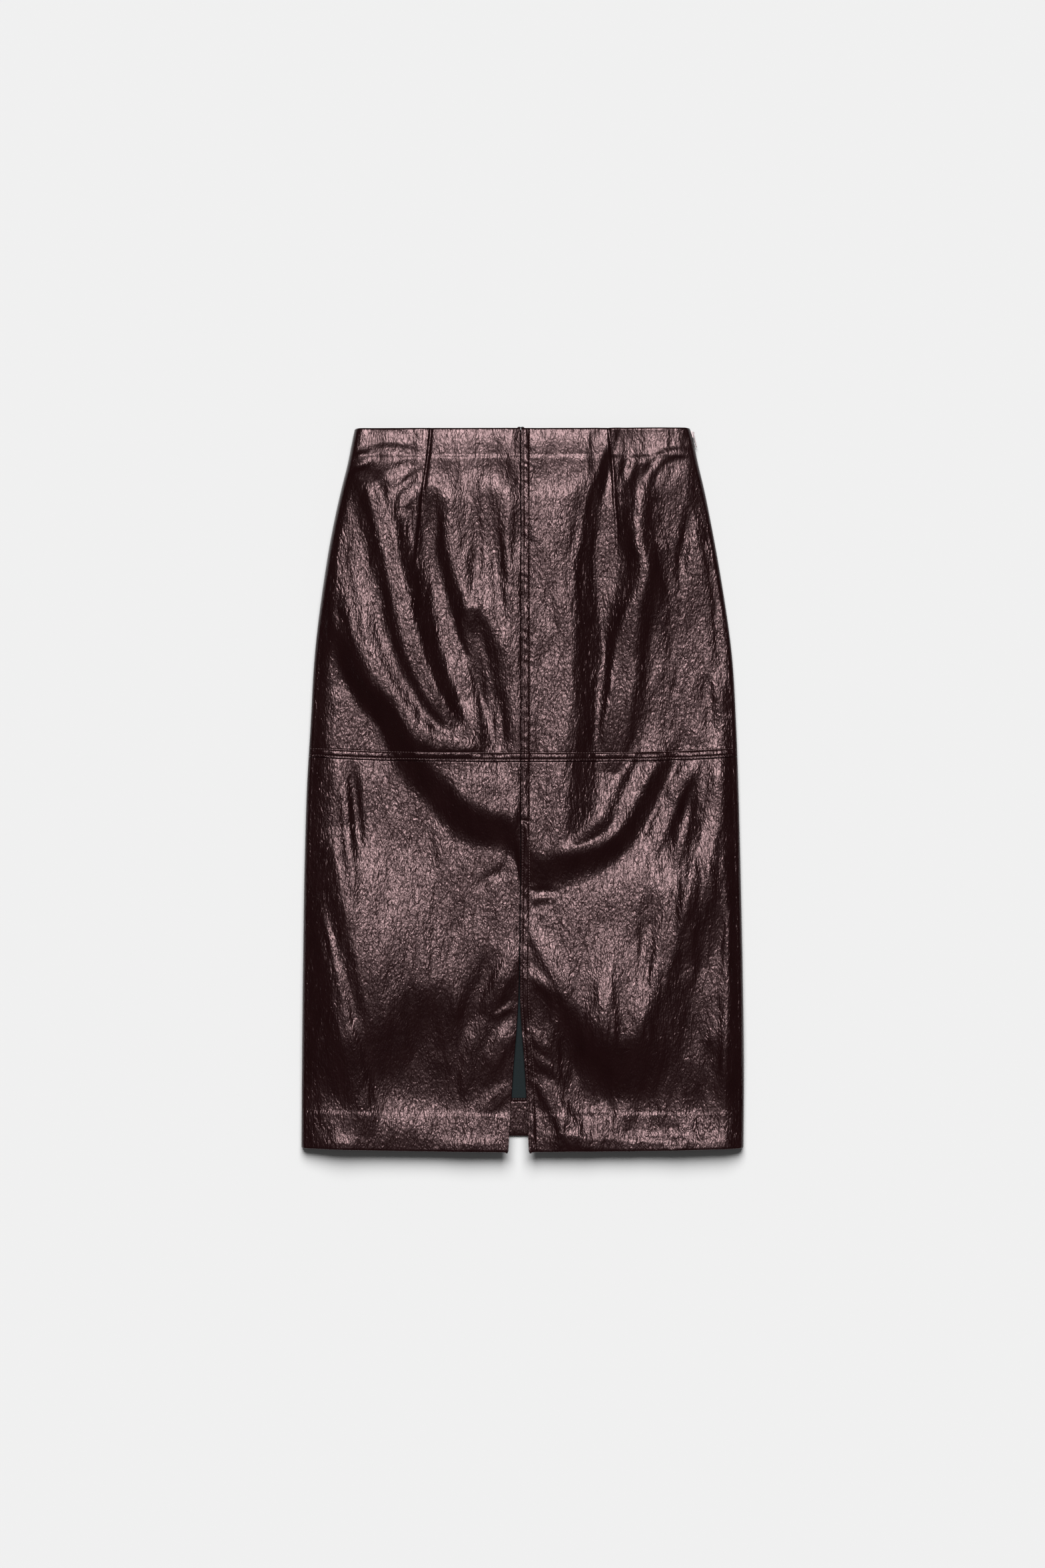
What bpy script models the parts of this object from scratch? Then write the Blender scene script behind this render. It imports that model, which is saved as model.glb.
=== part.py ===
"""Faux leather midi skirt, laid flat on a table with its front up.

The frame: X to the right, Y up towards the waist, Z up from the table, origin under the middle of
the skirt. The skirt is a flattened tube. Two back panels lie on the table and turn up at the
sides, and four front panels arch over them, with the folds of soft leather cloth, a seam down the
middle, a yoke seam across the hips and a slit at the front hem. "Left" and "right" are as seen.
Every size and table below is in millimetres, and the meshes are made in metres.
"""

import math
from collections import namedtuple

import bpy
import numpy as np

MM = 0.001
NAME = "midi_skirt"

# ---- cloth and sewing
WALL = 1.2  # leather cloth with its knitted backing
SEAM_GAP = 0.3  # between two panels where they are sewn
FOLD_GAP = 0.8  # air inside a turned edge
TURN_RADIUS = WALL + FOLD_GAP / 2  # outside of a turned edge
HEM_DEPTH = 38.5  # how far the hem is turned up
WAIST_TURN = 6.0  # how far the waist edge is turned in
FIRST_ROW = 2.3  # first row of stitches from its seam
SECOND_ROW = 9.0  # second row of stitches from its seam
BAND_RISE = 0.8  # the puffed band between the two rows

# ---- lengths, along Y
WAIST_Y = 379.1
WAIST_TILT = 0.0027  # the waist edge rises a little to the right
YOKE_Y = 30.0  # the yoke seam at the middle
YOKE_LIFT = 5.2  # how far it has risen at the sides
YOKE_POWER = 3.0
YOKE_HALF = 226.0  # half width there
HEM_Y = -378.7  # the front hem at the middle
HEM_LIFT = 3.8
BACK_HEM_Y = -362.9  # the back is shorter at the middle
BACK_HEM_DROP = 11.5  # and comes down to the front's hem at the sides
BACK_HEM_POWER = 2.5
BACK_WAIST_DROP = 1.2
SEAM_X = -2.1  # the middle seam

# ---- the flattened tube, along Z
SIDE_Z = 4.6  # height of the side seams over the table
FRONT_BEND = 6.0  # width of the rounded side above the seam
BACK_BEND = 3.8  # width of the rounded side below it
SEAM_STRAIGHT = 0.9  # upright run on each side of the side seam
FOOT_Z = SIDE_Z + SEAM_GAP / 2 + SEAM_STRAIGHT  # where the front's side bend ends
LOW_FRONT = 16.2  # height of the front under the yoke
THIGH_RISE = 6.0  # how much it rises from there down to the thighs
THIGH_RISE_START = 40.0
THIGH_RISE_RUN = 300.0
HEM_DIP = 1.6  # how far it comes down again towards the hem
HEM_DIP_START = -250.0
HEM_DIP_RUN = 80.0
HEM_LIP = 2.2  # the doubled hem stands a little higher
HEM_LIP_START = -318.0
HEM_LIP_RUN = 62.0
WAIST_DIP = 6.6  # how far the front comes down from the hips to the waist
WAIST_DIP_RUN = 78.0
RIGHT_WAIST = (3.6, 80.0, 50.0)  # it comes down less at the right: by how much, from where, over
LEFT_WAIST = (1.6, -60.0, 60.0)  # and at the left
HIP_RISE = (5.3, 92.0, 96.0)  # beyond its slope the right hip rises again: by how much, from, over
HIP_RISE_START = -70.0
HIP_RISE_RUN = 90.0

# ---- the outline: half widths at each height
Outline = namedtuple("Outline", "y left right")
OUTLINE = (
    Outline(-380, 232.3, 231.5),
    Outline(-285, 231.7, 232.0),
    Outline(-190, 230.7, 230.7),
    Outline(-64, 228.6, 227.9),
    Outline(0, 226.6, 226.2),
    Outline(74, 222.3, 223.5),
    Outline(140, 218.4, 219.4),
    Outline(216, 209.2, 208.8),
    Outline(270, 200.2, 199.2),
    Outline(316, 190.2, 190.0),
    Outline(344, 183.2, 183.4),
    Outline(363, 179.5, 179.5),
    Outline(380, 176.0, 175.0),
)

# ---- the slit: its two edges, and the middle seam above it
Slit = namedtuple("Slit", "y left_edge right_edge")
SLIT = (
    Slit(-380, -15.3, 6.3),
    Slit(-327, -12.1, 3.9),
    Slit(-285, -9.4, 1.5),
    Slit(-247, -6.3, -1.4),
    Slit(-222, -4.8, -2.9),
    Slit(-159, -3.4, -2.9),
    Slit(-96, -2.7, -2.3),
    Slit(-32, SEAM_X - SEAM_GAP / 2, SEAM_X + SEAM_GAP / 2),
    Slit(380, SEAM_X - SEAM_GAP / 2, SEAM_X + SEAM_GAP / 2),
)

# ---- where the dome over the hips ends: the middle of its slope, the slope's height and width
Belly = namedtuple("Belly", "x y drop run")
BELLY_LINE = (
    Belly(-240, 240, 2, 28),
    Belly(-205, 168, 4, 26),
    Belly(-165, 100, 8, 28),
    Belly(-145, 78, 8.4, 32),
    Belly(-122, 34, 9, 36),
    Belly(-90, -2, 9, 42),
    Belly(-62, -30, 9, 46),
    Belly(-40, -40, 9, 46),
    Belly(-14, -46, 8.4, 42),
    Belly(-6, -52, 7.8, 40),
    Belly(5, -76, 6.4, 40),
    Belly(14, -83, 6, 44),
    Belly(40, -81, 6, 46),
    Belly(70, -73, 6, 44),
    Belly(95, -61, 5.6, 38),
    Belly(118, -39, 5, 30),
    Belly(142, 6, 4, 25),
    Belly(160, 36, 1.6, 22),
    Belly(176, 64, 0, 20),
    Belly(240, 170, 0, 20),
)

# ---- the slope from the middle down to the right hip: its middle, width and height
HipLine = namedtuple("HipLine", "y x run drop")
HIP_LINE = (
    HipLine(-150, 50, 40, 0),
    HipLine(-90, 52, 40, 0),
    HipLine(-60, 54, 42, 2.5),
    HipLine(-30, 58, 42, 6),
    HipLine(20, 62, 42, 8.4),
    HipLine(60, 66, 43, 9.2),
    HipLine(100, 68, 43, 9.2),
    HipLine(140, 68, 42, 9.2),
    HipLine(180, 66, 36, 8.6),
    HipLine(220, 65, 28, 7.4),
    HipLine(260, 69, 23, 6.4),
    HipLine(300, 74, 20, 5.4),
    HipLine(340, 86, 17, 3.8),
    HipLine(380, 100, 16, 2.6),
)

# ---- the slope from the thighs down to the hem: its middle and height
Thigh = namedtuple("Thigh", "x y drop")
THIGH_LINE = (
    Thigh(-240, -300, 2),
    Thigh(-200, -290, 3),
    Thigh(-160, -275, 4),
    Thigh(-140, -268, 5),
    Thigh(-110, -236, 5.4),
    Thigh(-85, -236, 5.4),
    Thigh(-70, -254, 5),
    Thigh(-50, -240, 4.4),
    Thigh(-20, -222, 4),
    Thigh(0, -220, 4),
    Thigh(30, -238, 5),
    Thigh(60, -262, 6.4),
    Thigh(85, -284, 6.6),
    Thigh(105, -292, 6.6),
    Thigh(125, -280, 6.4),
    Thigh(142, -256, 6.2),
    Thigh(155, -230, 6),
    Thigh(170, -195, 5.5),
    Thigh(200, -120, 4),
    Thigh(240, -60, 3),
)
THIGH_RUN = 66.0  # width of that slope

# ---- how wide the front rolls off towards each side, and the share of its height lost there
Roll = namedtuple("Roll", "y left right share")
SIDE_ROLL = (
    Roll(-380, 56, 24, 0.55),
    Roll(-200, 46, 22, 0.62),
    Roll(-60, 36, 20, 0.62),
    Roll(100, 26, 20, 0.55),
    Roll(200, 20, 18, 0.42),
    Roll(300, 14, 14, 0.28),
    Roll(380, 10, 10, 0.16),
)

# ---- soft mounds: the middle, half widths along X and Y, and height
Mound = namedtuple("Mound", "x y half_x half_y height")
MOUNDS = (
    Mound(92, -238, 62, 74, 4.2),  # the right thigh
    Mound(-110, -190, 60, 90, 1.6),  # the left thigh
    Mound(-118, -352, 44, 26, 1.6),  # under the hem at the left
    Mound(70, -352, 36, 20, 1.0),  # and at the right
)

# ---- the largest folds: the places that each runs through, with the half width of its flat top,
# the width of its lower (or left) and upper (or right) flank, and its height; a valley is below 0
Place = namedtuple("Place", "x y flat lower upper height")
FOLDS = (
    # the fan at the upper left: its highest ridge, its valley, and the ridge along its foot
    (
        Place(-166, 340, 2, 10, 10, 0),
        Place(-158, 318, 4, 12, 14, 3),
        Place(-147, 282, 5, 12, 15, 4),
        Place(-134, 228, 6, 13, 15, 4.4),
        Place(-124, 180, 7, 13, 15, 4.4),
        Place(-108, 130, 6, 12, 13, 4),
        Place(-88, 90, 5, 10, 10, 3),
        Place(-68, 64, 3, 8, 8, 0.5),
    ),
    (
        Place(-93, 318, 1, 14, 10, 0),
        Place(-95, 285, 2, 22, 12, -3),
        Place(-96, 250, 3, 22, 13, -4.5),
        Place(-87, 210, 4, 20, 13, -5),
        Place(-76, 160, 6, 18, 12, -5),
        Place(-62, 118, 9, 14, 10, -4),
        Place(-52, 84, 8, 12, 9, -2.6),
        Place(-48, 62, 5, 8, 8, 0),
    ),
    (
        Place(-184, 240, 3, 12, 12, 0),
        Place(-176, 195, 6, 14, 14, 2),
        Place(-167, 155, 6, 16, 15, 3),
        Place(-156, 129, 4, 18, 16, 3.4),
        Place(-142, 105, 3, 18, 16, 3.6),
        Place(-127, 83, 3, 18, 16, 3.6),
        Place(-112, 65, 3, 18, 15, 3.4),
        Place(-96, 53, 3, 16, 14, 3),
        Place(-76, 48, 3, 12, 12, 2.4),
        Place(-56, 48, 3, 10, 10, 1.8),
        Place(-44, 58, 2, 8, 8, 0),
    ),
    # beside the middle seam
    (
        Place(-58, 190, 2, 10, 10, 0),
        Place(-48, 160, 2, 12, 15, -3.4),
        Place(-40, 128, 3, 12, 17, -4.2),
        Place(-34, 92, 3, 12, 16, -4),
        Place(-29, 60, 3, 12, 14, -3),
        Place(-24, 34, 2, 10, 12, -1.2),
        Place(-20, 10, 2, 10, 10, 0),
    ),
    # the S on the upper right, which ends as a shelf
    (
        Place(127, 342, 1, 10, 12, 0),
        Place(122, 315, 1.5, 14, 14, 4.2),
        Place(120, 285, 1.5, 15, 15, 5.6),
        Place(122, 258, 1.5, 15, 15, 6),
        Place(127, 238, 1.5, 17, 15, 6.2),
        Place(124, 212, 1.5, 18, 16, 6.2),
        Place(117, 190, 2, 20, 19, 6),
        Place(110, 168, 6, 15, 18, 5.8),
        Place(106, 138, 9, 11, 17, 5.2),
        Place(103, 108, 10, 10, 17, 4.8),
        Place(98, 75, 9, 10, 17, 4),
        Place(94, 45, 7, 10, 15, 2.4),
        Place(92, 18, 5, 10, 12, 0),
    ),
    # the shallow hollow between the fan and the middle seam
    (
        Place(-52, 335, 6, 16, 14, 0),
        Place(-46, 290, 8, 18, 16, -1.6),
        Place(-42, 235, 8, 18, 16, -2),
        Place(-42, 190, 5, 14, 14, 0),
    ),
    # the rim of the hollow under the right hip
    (
        Place(34, -72, 1, 8, 8, 0),
        Place(58, -63, 2, 14, 10, 2),
        Place(80, -53, 3, 15, 11, 3),
        Place(98, -38, 3, 15, 12, 3.2),
        Place(108, -14, 4, 15, 12, 3.2),
        Place(118, 8, 5, 15, 10, 2.8),
        Place(128, 28, 6, 13, 8, 1.8),
        Place(136, 48, 5, 10, 8, 0),
    ),
    # streaks down the right side
    (
        Place(182, 44, 3, 9, 8, 0),
        Place(176, 25, 4, 10, 8, 1.4),
        Place(164, 3, 5, 10, 8, 1.8),
        Place(152, -22, 5, 10, 8, 1.8),
        Place(141, -46, 5, 10, 8, 1.6),
        Place(128, -70, 5, 10, 8, 0),
    ),
    (
        Place(209, 50, 3, 9, 9, 0),
        Place(206, 10, 4, 11, 12, 1.8),
        Place(198, -32, 5, 12, 14, 2.6),
        Place(189, -66, 6, 12, 16, 3),
        Place(182, -106, 6, 12, 18, 3),
        Place(175, -145, 6, 12, 20, 2.4),
        Place(166, -180, 6, 12, 20, 0),
    ),
    # the left side: a narrow streak and the slope up to the thigh
    (
        Place(-220, -105, 2, 9, 8, 0),
        Place(-208, -155, 3, 13, 9, 2.2),
        Place(-197, -200, 4, 15, 9, 2.8),
        Place(-190, -235, 4, 17, 10, 2.8),
        Place(-180, -272, 4, 19, 10, 2.8),
        Place(-170, -312, 4, 20, 9, 2.6),
        Place(-164, -340, 3, 16, 9, 1.4),
        Place(-162, -362, 3, 12, 8, 0),
    ),
    (
        Place(-198, -40, 3, 12, 30, 0),
        Place(-185, -95, 4, 17, 44, 3.2),
        Place(-176, -140, 4, 17, 48, 3.8),
        Place(-166, -185, 4, 17, 48, 3.6),
        Place(-157, -225, 4, 15, 44, 2.4),
        Place(-148, -262, 4, 12, 34, 0),
    ),
    # beside the slit
    (
        Place(-28, -165, 1, 9, 9, 0),
        Place(-40, -195, 2, 13, 12, -1.6),
        Place(-52, -222, 2, 14, 12, -2),
        Place(-64, -250, 2, 14, 12, -1.8),
        Place(-82, -285, 2, 12, 12, 0),
    ),
    (
        Place(12, -205, 1, 8, 8, 0),
        Place(28, -232, 2, 12, 12, -1.6),
        Place(46, -262, 4, 14, 14, -2.2),
        Place(64, -296, 5, 14, 18, -2.4),
        Place(78, -326, 5, 12, 20, -1.6),
        Place(88, -350, 4, 10, 12, 0),
    ),
    (
        Place(14, -300, 2, 6, 9, 0),
        Place(28, -320, 3, 7, 11, 1.6),
        Place(41, -343, 4, 8, 12, 2),
        Place(53, -364, 5, 8, 12, 1.8),
        Place(62, -384, 5, 8, 12, 1),
    ),
)
FOLD_STEPS = 4  # straight runs between two places
FOLD_SHARPNESS = 1.4
RAMP_END = 0.33

# ---- the grids
MIDDLE_PLAIN = (0.0, 4.0, 13.0)  # columns beside the seam on the left
MIDDLE_SEWN = (0.0, FIRST_ROW, 5.6, SECOND_ROW, 13.0)  # and on the right, under two rows
FLAT_COLUMNS = 18  # from there to the side bend
BEND_STEPS = 4
YOKE_ROWS = (0.0, FIRST_ROW, 5.6, SECOND_ROW, 15.0)  # rows over the yoke seam
UPPER_ROWS = 19
LOWER_ROWS = 19
HEM_ROWS = (13.0, 26.0)  # rows in the hem, besides its ends
TURN_STEPS = 4
BACK_COLUMNS = 6
BACK_UPPER_ROWS = 11
BACK_LOWER_ROWS = 9
SETTLE_ROUNDS = 3  # rows and columns are fitted to each other in so many rounds

# ---- the zip in the right side seam
ZIP_Y = 374.0  # the pull tab hangs from here
TAB_LENGTH = 15.5
TAB_WIDTH = 4.0
TAB_THICKNESS = 0.9
TAB_BAR = 0.8  # the bar that the slider's bridge holds
WINDOW_LENGTH = 1.8
WINDOW_WIDTH = 1.7
BRIDGE_RADIUS = 1.22
BRIDGE_WIRE = 0.38
SLIDER_LENGTH = 7.0
SLIDER_WIDTH = 3.4
SLIDER_THICKNESS = 1.0
SLIDER_BELOW = 1.0  # its middle lies this far down the seam from the bridge's
BRIDGE_STEPS = 8  # straight runs round the bridge
WELD_REACH = 0.01
EDGE_ROUND = 0.25
EDGE_SEGMENTS = 2

# ---- colours (linear), roughness, metallic
LEATHER = ((0.045, 0.018, 0.019, 1.0), 0.38, 0.0)
ZIP_METAL = ((0.16, 0.13, 0.13, 1.0), 0.35, 1.0)


# ------------------------------------------------------------------ curves and heights


def smooth(share):
    """Ease from 0 to 1: 3t^2 - 2t^3."""
    t = np.clip(share, 0.0, 1.0)
    return t * t * (3.0 - 2.0 * t)


def ramp(share):
    """A straight rise from 0 to 1, rounded over RAMP_END at each end."""
    t = np.clip(share, 0.0, 1.0)
    start = t * t / (2 * RAMP_END)
    stop = 1 - RAMP_END - (1 - t) ** 2 / (2 * RAMP_END)
    middle = np.where(t > 1 - RAMP_END, stop, t - RAMP_END / 2)
    return np.where(t < RAMP_END, start, middle) / (1 - RAMP_END)


def along(table, key, column, at):
    """A smooth curve through a table's rows: cubic pieces with the slopes of their neighbours."""
    keys = np.array([getattr(row, key) for row in table], float)
    values = np.array([getattr(row, column) for row in table], float)
    slopes = np.gradient(values, keys)
    at = np.clip(at, keys[0], keys[-1])
    i = np.clip(np.searchsorted(keys, at) - 1, 0, len(keys) - 2)
    run = keys[i + 1] - keys[i]
    t = (at - keys[i]) / run
    start = (1 + 2 * t) * (1 - t) ** 2 * values[i] + t * (1 - t) ** 2 * run * slopes[i]
    end = t * t * (3 - 2 * t) * values[i + 1] + t * t * (t - 1) * run * slopes[i + 1]
    return start + end


def half_width(side, y):
    """Distance from the origin's line to the side seam."""
    return along(OUTLINE, "y", "left" if side < 0 else "right", y)


def waist_y(x):
    return WAIST_Y + WAIST_TILT * x


def yoke_y(x):
    return YOKE_Y + YOKE_LIFT * (np.abs(x) / YOKE_HALF) ** YOKE_POWER


def front_hem_y(x):
    return HEM_Y + HEM_LIFT * (x / OUTLINE[0].left) ** 2


def back_hem_y(x):
    return BACK_HEM_Y - BACK_HEM_DROP * (np.abs(x) / OUTLINE[0].left) ** BACK_HEM_POWER


def past_line(x, y, table):
    """Distance over a line that is given as y along x, measured across the line."""
    reach = 2.0
    lean = (along(table, "x", "y", x + reach) - along(table, "x", "y", x - reach)) / (2 * reach)
    return (y - along(table, "x", "y", x)) / np.sqrt(1.0 + lean**2)


def fold_height(x, y, places):
    """A soft ridge or valley along a curve through its places: a bell on each side of a flat top."""
    steps = np.hypot(np.diff([p.x for p in places]), np.diff([p.y for p in places]))
    keys = np.concatenate([[0.0], np.cumsum(steps)])
    Knot = namedtuple("Knot", ("key",) + Place._fields)
    knots = [Knot(key, *place) for key, place in zip(keys, places)]
    at = np.linspace(0.0, keys[-1], FOLD_STEPS * (len(keys) - 1) + 1)
    curve = {column: along(knots, "key", column, at) for column in Place._fields}
    nearest = np.full(x.shape, np.inf)
    place = np.zeros(x.shape)
    above = np.zeros(x.shape, bool)
    for k in range(len(at) - 1):
        dx = curve["x"][k + 1] - curve["x"][k]
        dy = curve["y"][k + 1] - curve["y"][k]
        off_x = x - curve["x"][k]
        off_y = y - curve["y"][k]
        share = np.clip((off_x * dx + off_y * dy) / (dx * dx + dy * dy), 0, 1)
        off_x = off_x - share * dx
        off_y = off_y - share * dy
        far = np.hypot(off_x, off_y)
        closer = far < nearest
        nearest = np.where(closer, far, nearest)
        place = np.where(closer, k + share, place)
        above = np.where(closer, dx * off_y - dy * off_x > 0, above)
    here = {column: np.interp(place, np.arange(len(at)), curve[column]) for column in Place._fields}
    flank = np.where(above, here["upper"], here["lower"])
    past = np.maximum(nearest - here["flat"], 0.0) / flank
    return here["height"] * np.exp(-FOLD_SHARPNESS * past**2)


def waist_dip(x):
    """How far the front comes down from the hips to the waist edge."""
    right, right_start, right_run = RIGHT_WAIST
    left, left_start, left_run = LEFT_WAIST
    dip = WAIST_DIP - right * smooth((x - right_start) / right_run)
    return dip - left * smooth((left_start - x) / left_run)


def front_height(x, y):
    """Height of the front's outer face over the table, without its bend at the sides."""
    x, y = np.broadcast_arrays(np.asarray(x, float), np.asarray(y, float))
    height = LOW_FRONT + THIGH_RISE * np.clip((THIGH_RISE_START - y) / THIGH_RISE_RUN, 0, 1)
    under_thigh = smooth(0.5 - past_line(x, y, THIGH_LINE) / THIGH_RUN)
    height = height - along(THIGH_LINE, "x", "drop", x) * under_thigh
    height = height + HEM_LIP * smooth((HEM_LIP_START - y) / HEM_LIP_RUN)
    height = height - HEM_DIP * smooth((HEM_DIP_START - y) / HEM_DIP_RUN)
    over_belly = past_line(x, y, BELLY_LINE) / along(BELLY_LINE, "x", "run", x)
    height = height + along(BELLY_LINE, "x", "drop", x) * ramp(over_belly + 0.5)
    height = height - waist_dip(x) * smooth(1 - (WAIST_Y - y) / WAIST_DIP_RUN)
    past_hip = (x - along(HIP_LINE, "y", "x", y)) / along(HIP_LINE, "y", "run", y) + 0.5
    height = height - along(HIP_LINE, "y", "drop", y) * ramp(past_hip)
    rise, rise_start, rise_run = HIP_RISE
    over_hip = smooth((x - rise_start) / rise_run)
    height = height + rise * over_hip * smooth((y - HIP_RISE_START) / HIP_RISE_RUN)
    for mound in MOUNDS:
        off_x = (x - mound.x) / mound.half_x
        off_y = (y - mound.y) / mound.half_y
        height = height + mound.height * np.exp(-(off_x**2) - off_y**2)
    for places in FOLDS:
        height = height + fold_height(x, y, places)
    side_left = (half_width(-1, y) + x) / along(SIDE_ROLL, "y", "left", y)
    side_right = (half_width(1, y) - x) / along(SIDE_ROLL, "y", "right", y)
    near_side = np.clip(1 - np.minimum(side_left, side_right), 0, 1)
    return FOOT_Z + (height - FOOT_Z) * (1 - along(SIDE_ROLL, "y", "share", y) * near_side**2)


def band(distance):
    """The puffed band between two rows of stitches, by distance from their seam."""
    middle = (FIRST_ROW + SECOND_ROW) / 2
    half = (SECOND_ROW - FIRST_ROW) / 2
    return BAND_RISE * np.sqrt(np.clip(1 - ((distance - middle) / half) ** 2, 0, 1))


# ------------------------------------------------------------------ grids of the panels


def seam_edge(side, y):
    """The panel's edge at the middle: the seam above, and the slit's edge below."""
    return along(SLIT, "y", "left_edge" if side < 0 else "right_edge", y)


def front_columns(side):
    """Each column of a front panel: its kind, and its distance, share or angle there."""
    beside = MIDDLE_PLAIN if side < 0 else MIDDLE_SEWN
    columns = [("beside", distance) for distance in beside]
    columns += [("flat", k / FLAT_COLUMNS) for k in range(1, FLAT_COLUMNS + 1)]
    columns += [("bend", math.pi / 2 * k / BEND_STEPS) for k in range(1, BEND_STEPS + 1)]
    return columns + [("seam", 0.0)]


def front_point(side, column, y):
    """X and Z of the front's outer face in one column at the heights y."""
    kind, value = column
    edge = seam_edge(side, y)
    first = edge + side * (MIDDLE_PLAIN if side < 0 else MIDDLE_SEWN)[-1]
    width = half_width(side, y)
    bend_start = side * (width - FRONT_BEND)
    if kind == "beside":
        x = edge + side * value
        sewn = band(np.full_like(y, value)) if side > 0 else 0.0
        return x, front_height(x, y) + sewn
    if kind == "flat":
        x = first + (bend_start - first) * value
        return x, front_height(x, y)
    if kind == "seam":
        return side * width, np.full_like(y, SIDE_Z + SEAM_GAP / 2)
    x = bend_start + side * FRONT_BEND * math.sin(value)
    return x, FOOT_Z + (front_height(bend_start, y) - FOOT_Z) * math.cos(value)


def upper_front_rows():
    """Rows from the yoke seam to the waist: a distance over the seam, or a share of the rest."""
    rows = [("over_yoke", distance) for distance in YOKE_ROWS]
    return rows + [("share", k / UPPER_ROWS) for k in range(1, UPPER_ROWS + 1)]


def lower_front_rows():
    """Rows from the yoke seam down to the hem: shares of the length, then the hem's own."""
    rows = [("share", k / LOWER_ROWS) for k in range(LOWER_ROWS + 1)]
    rows += [("over_hem", distance) for distance in sorted(HEM_ROWS, reverse=True)]
    return rows + [("over_hem", 0.0)]


def row_heights(rows, x, upper, hem, waist_drop=0.0):
    """The height at which each row crosses its own x."""
    foot = yoke_y(x) + SEAM_GAP / 2
    low = foot + YOKE_ROWS[-1]
    waist = waist_y(x) - waist_drop - TURN_RADIUS
    top = yoke_y(x) - SEAM_GAP / 2
    fold = hem(x) + TURN_RADIUS
    heights = []
    for k, (kind, value) in enumerate(rows):
        if kind == "over_yoke":
            heights.append(foot[k] + value)
        elif kind == "over_hem":
            heights.append(fold[k] + value)
        elif upper:
            heights.append(low[k] + (waist[k] - low[k]) * value)
        else:
            heights.append(top[k] + (fold[k] + HEM_DEPTH - top[k]) * value)
    return np.array(heights)


def settle(rows, point, upper, hem, waist_drop=0.0):
    """Rows and columns both bend, so X and Y of a column's points are found in a few rounds."""
    y = row_heights(rows, np.zeros(len(rows)), upper, hem, waist_drop)
    for _ in range(SETTLE_ROUNDS):
        x, z = point(y)
        y = row_heights(rows, x, upper, hem, waist_drop)
    x, z = point(y)
    return np.stack([x, y, z], axis=1)


def front_grid(side, upper):
    """Points of a front panel's outer face, rows by columns."""
    columns = front_columns(side)
    rows = upper_front_rows() if upper else lower_front_rows()
    lines = []
    for column in columns:
        lines.append(settle(rows, lambda y, c=column: front_point(side, c, y), upper, front_hem_y))
    grid = np.stack(lines, axis=1)
    if upper:
        flat = len(columns) - BEND_STEPS - 1
        for r, (_, distance) in enumerate(rows[: len(YOKE_ROWS)]):
            grid[r, :flat, 2] += band(distance)
    return grid


def back_columns():
    """Columns of a back panel from the left seam to the right one."""
    angles = [math.pi / 2 * k / BEND_STEPS for k in range(BEND_STEPS + 1)]
    left = [("seam", -1)] + [("bend", -angle) for angle in angles[::-1]]
    flat = [("flat", k / BACK_COLUMNS) for k in range(1, BACK_COLUMNS)]
    return left + flat + [("bend", angle) for angle in angles] + [("seam", 1)]


def back_point(column, place, y):
    """X and Z of the back's outer face in one column; the table is at Z 0."""
    kind, value = column
    left = -half_width(-1, y)
    right = half_width(1, y)
    if kind == "flat":
        low = left + BACK_BEND
        return low + (right - BACK_BEND - low) * value, np.zeros_like(y)
    on_left = place == "left"
    edge = left if on_left else right
    if kind == "seam":
        return edge, np.full_like(y, SIDE_Z - SEAM_GAP / 2)
    reach = BACK_BEND * (1 - abs(math.sin(value)))
    rise = (SIDE_Z - SEAM_GAP / 2 - SEAM_STRAIGHT) * (1 - math.cos(value))
    return edge + (reach if on_left else -reach), np.full_like(y, rise)


def back_grid(upper):
    """Points of a back panel's outer face, which lies on the table, rows by columns."""
    count = BACK_UPPER_ROWS if upper else BACK_LOWER_ROWS
    if upper:
        rows = [("over_yoke", 0.0), ("over_yoke", YOKE_ROWS[-1])]
        rows += [("share", k / count) for k in range(1, count + 1)]
    else:
        rows = [("share", k / count) for k in range(count + 1)] + [("over_hem", 0.0)]
    columns = back_columns()
    half = len(columns) // 2
    lines = []
    for k, column in enumerate(columns):
        place = "left" if k < half else "right"

        def point(y, column=column, place=place):
            return back_point(column, place, y)

        lines.append(settle(rows, point, upper, back_hem_y, BACK_WAIST_DROP))
    return np.stack(lines, axis=1)


def outward_normals(grid, upward):
    """Unit normals of a grid, turned so that the middle of the panel faces up or down."""
    down_rows = np.gradient(grid, axis=0)
    along_row = np.gradient(grid, axis=1)
    normals = np.cross(along_row, down_rows)
    normals /= np.linalg.norm(normals, axis=2, keepdims=True)
    middle = normals[grid.shape[0] // 2, grid.shape[1] // 2, 2]
    return normals if (middle > 0) == upward else -normals


def turned_edge(grid, upward, depths):
    """Turn the grid's last row round and back under the panel, by the depths given.

    The cloth goes round a half circle of TURN_RADIUS, and then lies under the rows that it
    turned at: (depth, row) pairs name the row that each new row lies under.
    """
    normals = outward_normals(grid, upward)
    last = grid[-1]
    normal = normals[-1]
    forward = last - grid[-2]
    forward[:, 0] = 0.0
    forward -= normal * np.sum(forward * normal, axis=1, keepdims=True)
    forward /= np.linalg.norm(forward, axis=1, keepdims=True)
    centre = last - normal * TURN_RADIUS
    added = []
    for k in range(1, TURN_STEPS + 1):
        angle = math.pi * k / TURN_STEPS
        added.append(centre + TURN_RADIUS * (normal * math.cos(angle) + forward * math.sin(angle)))
    for depth, row in depths:
        if row is None:
            under = last - forward * depth
            below = normal
        else:
            under = grid[row]
            below = normals[row]
        added.append(under - below * 2 * TURN_RADIUS)
    return np.concatenate([grid, np.array(added)])


# ------------------------------------------------------------------ objects


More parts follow.
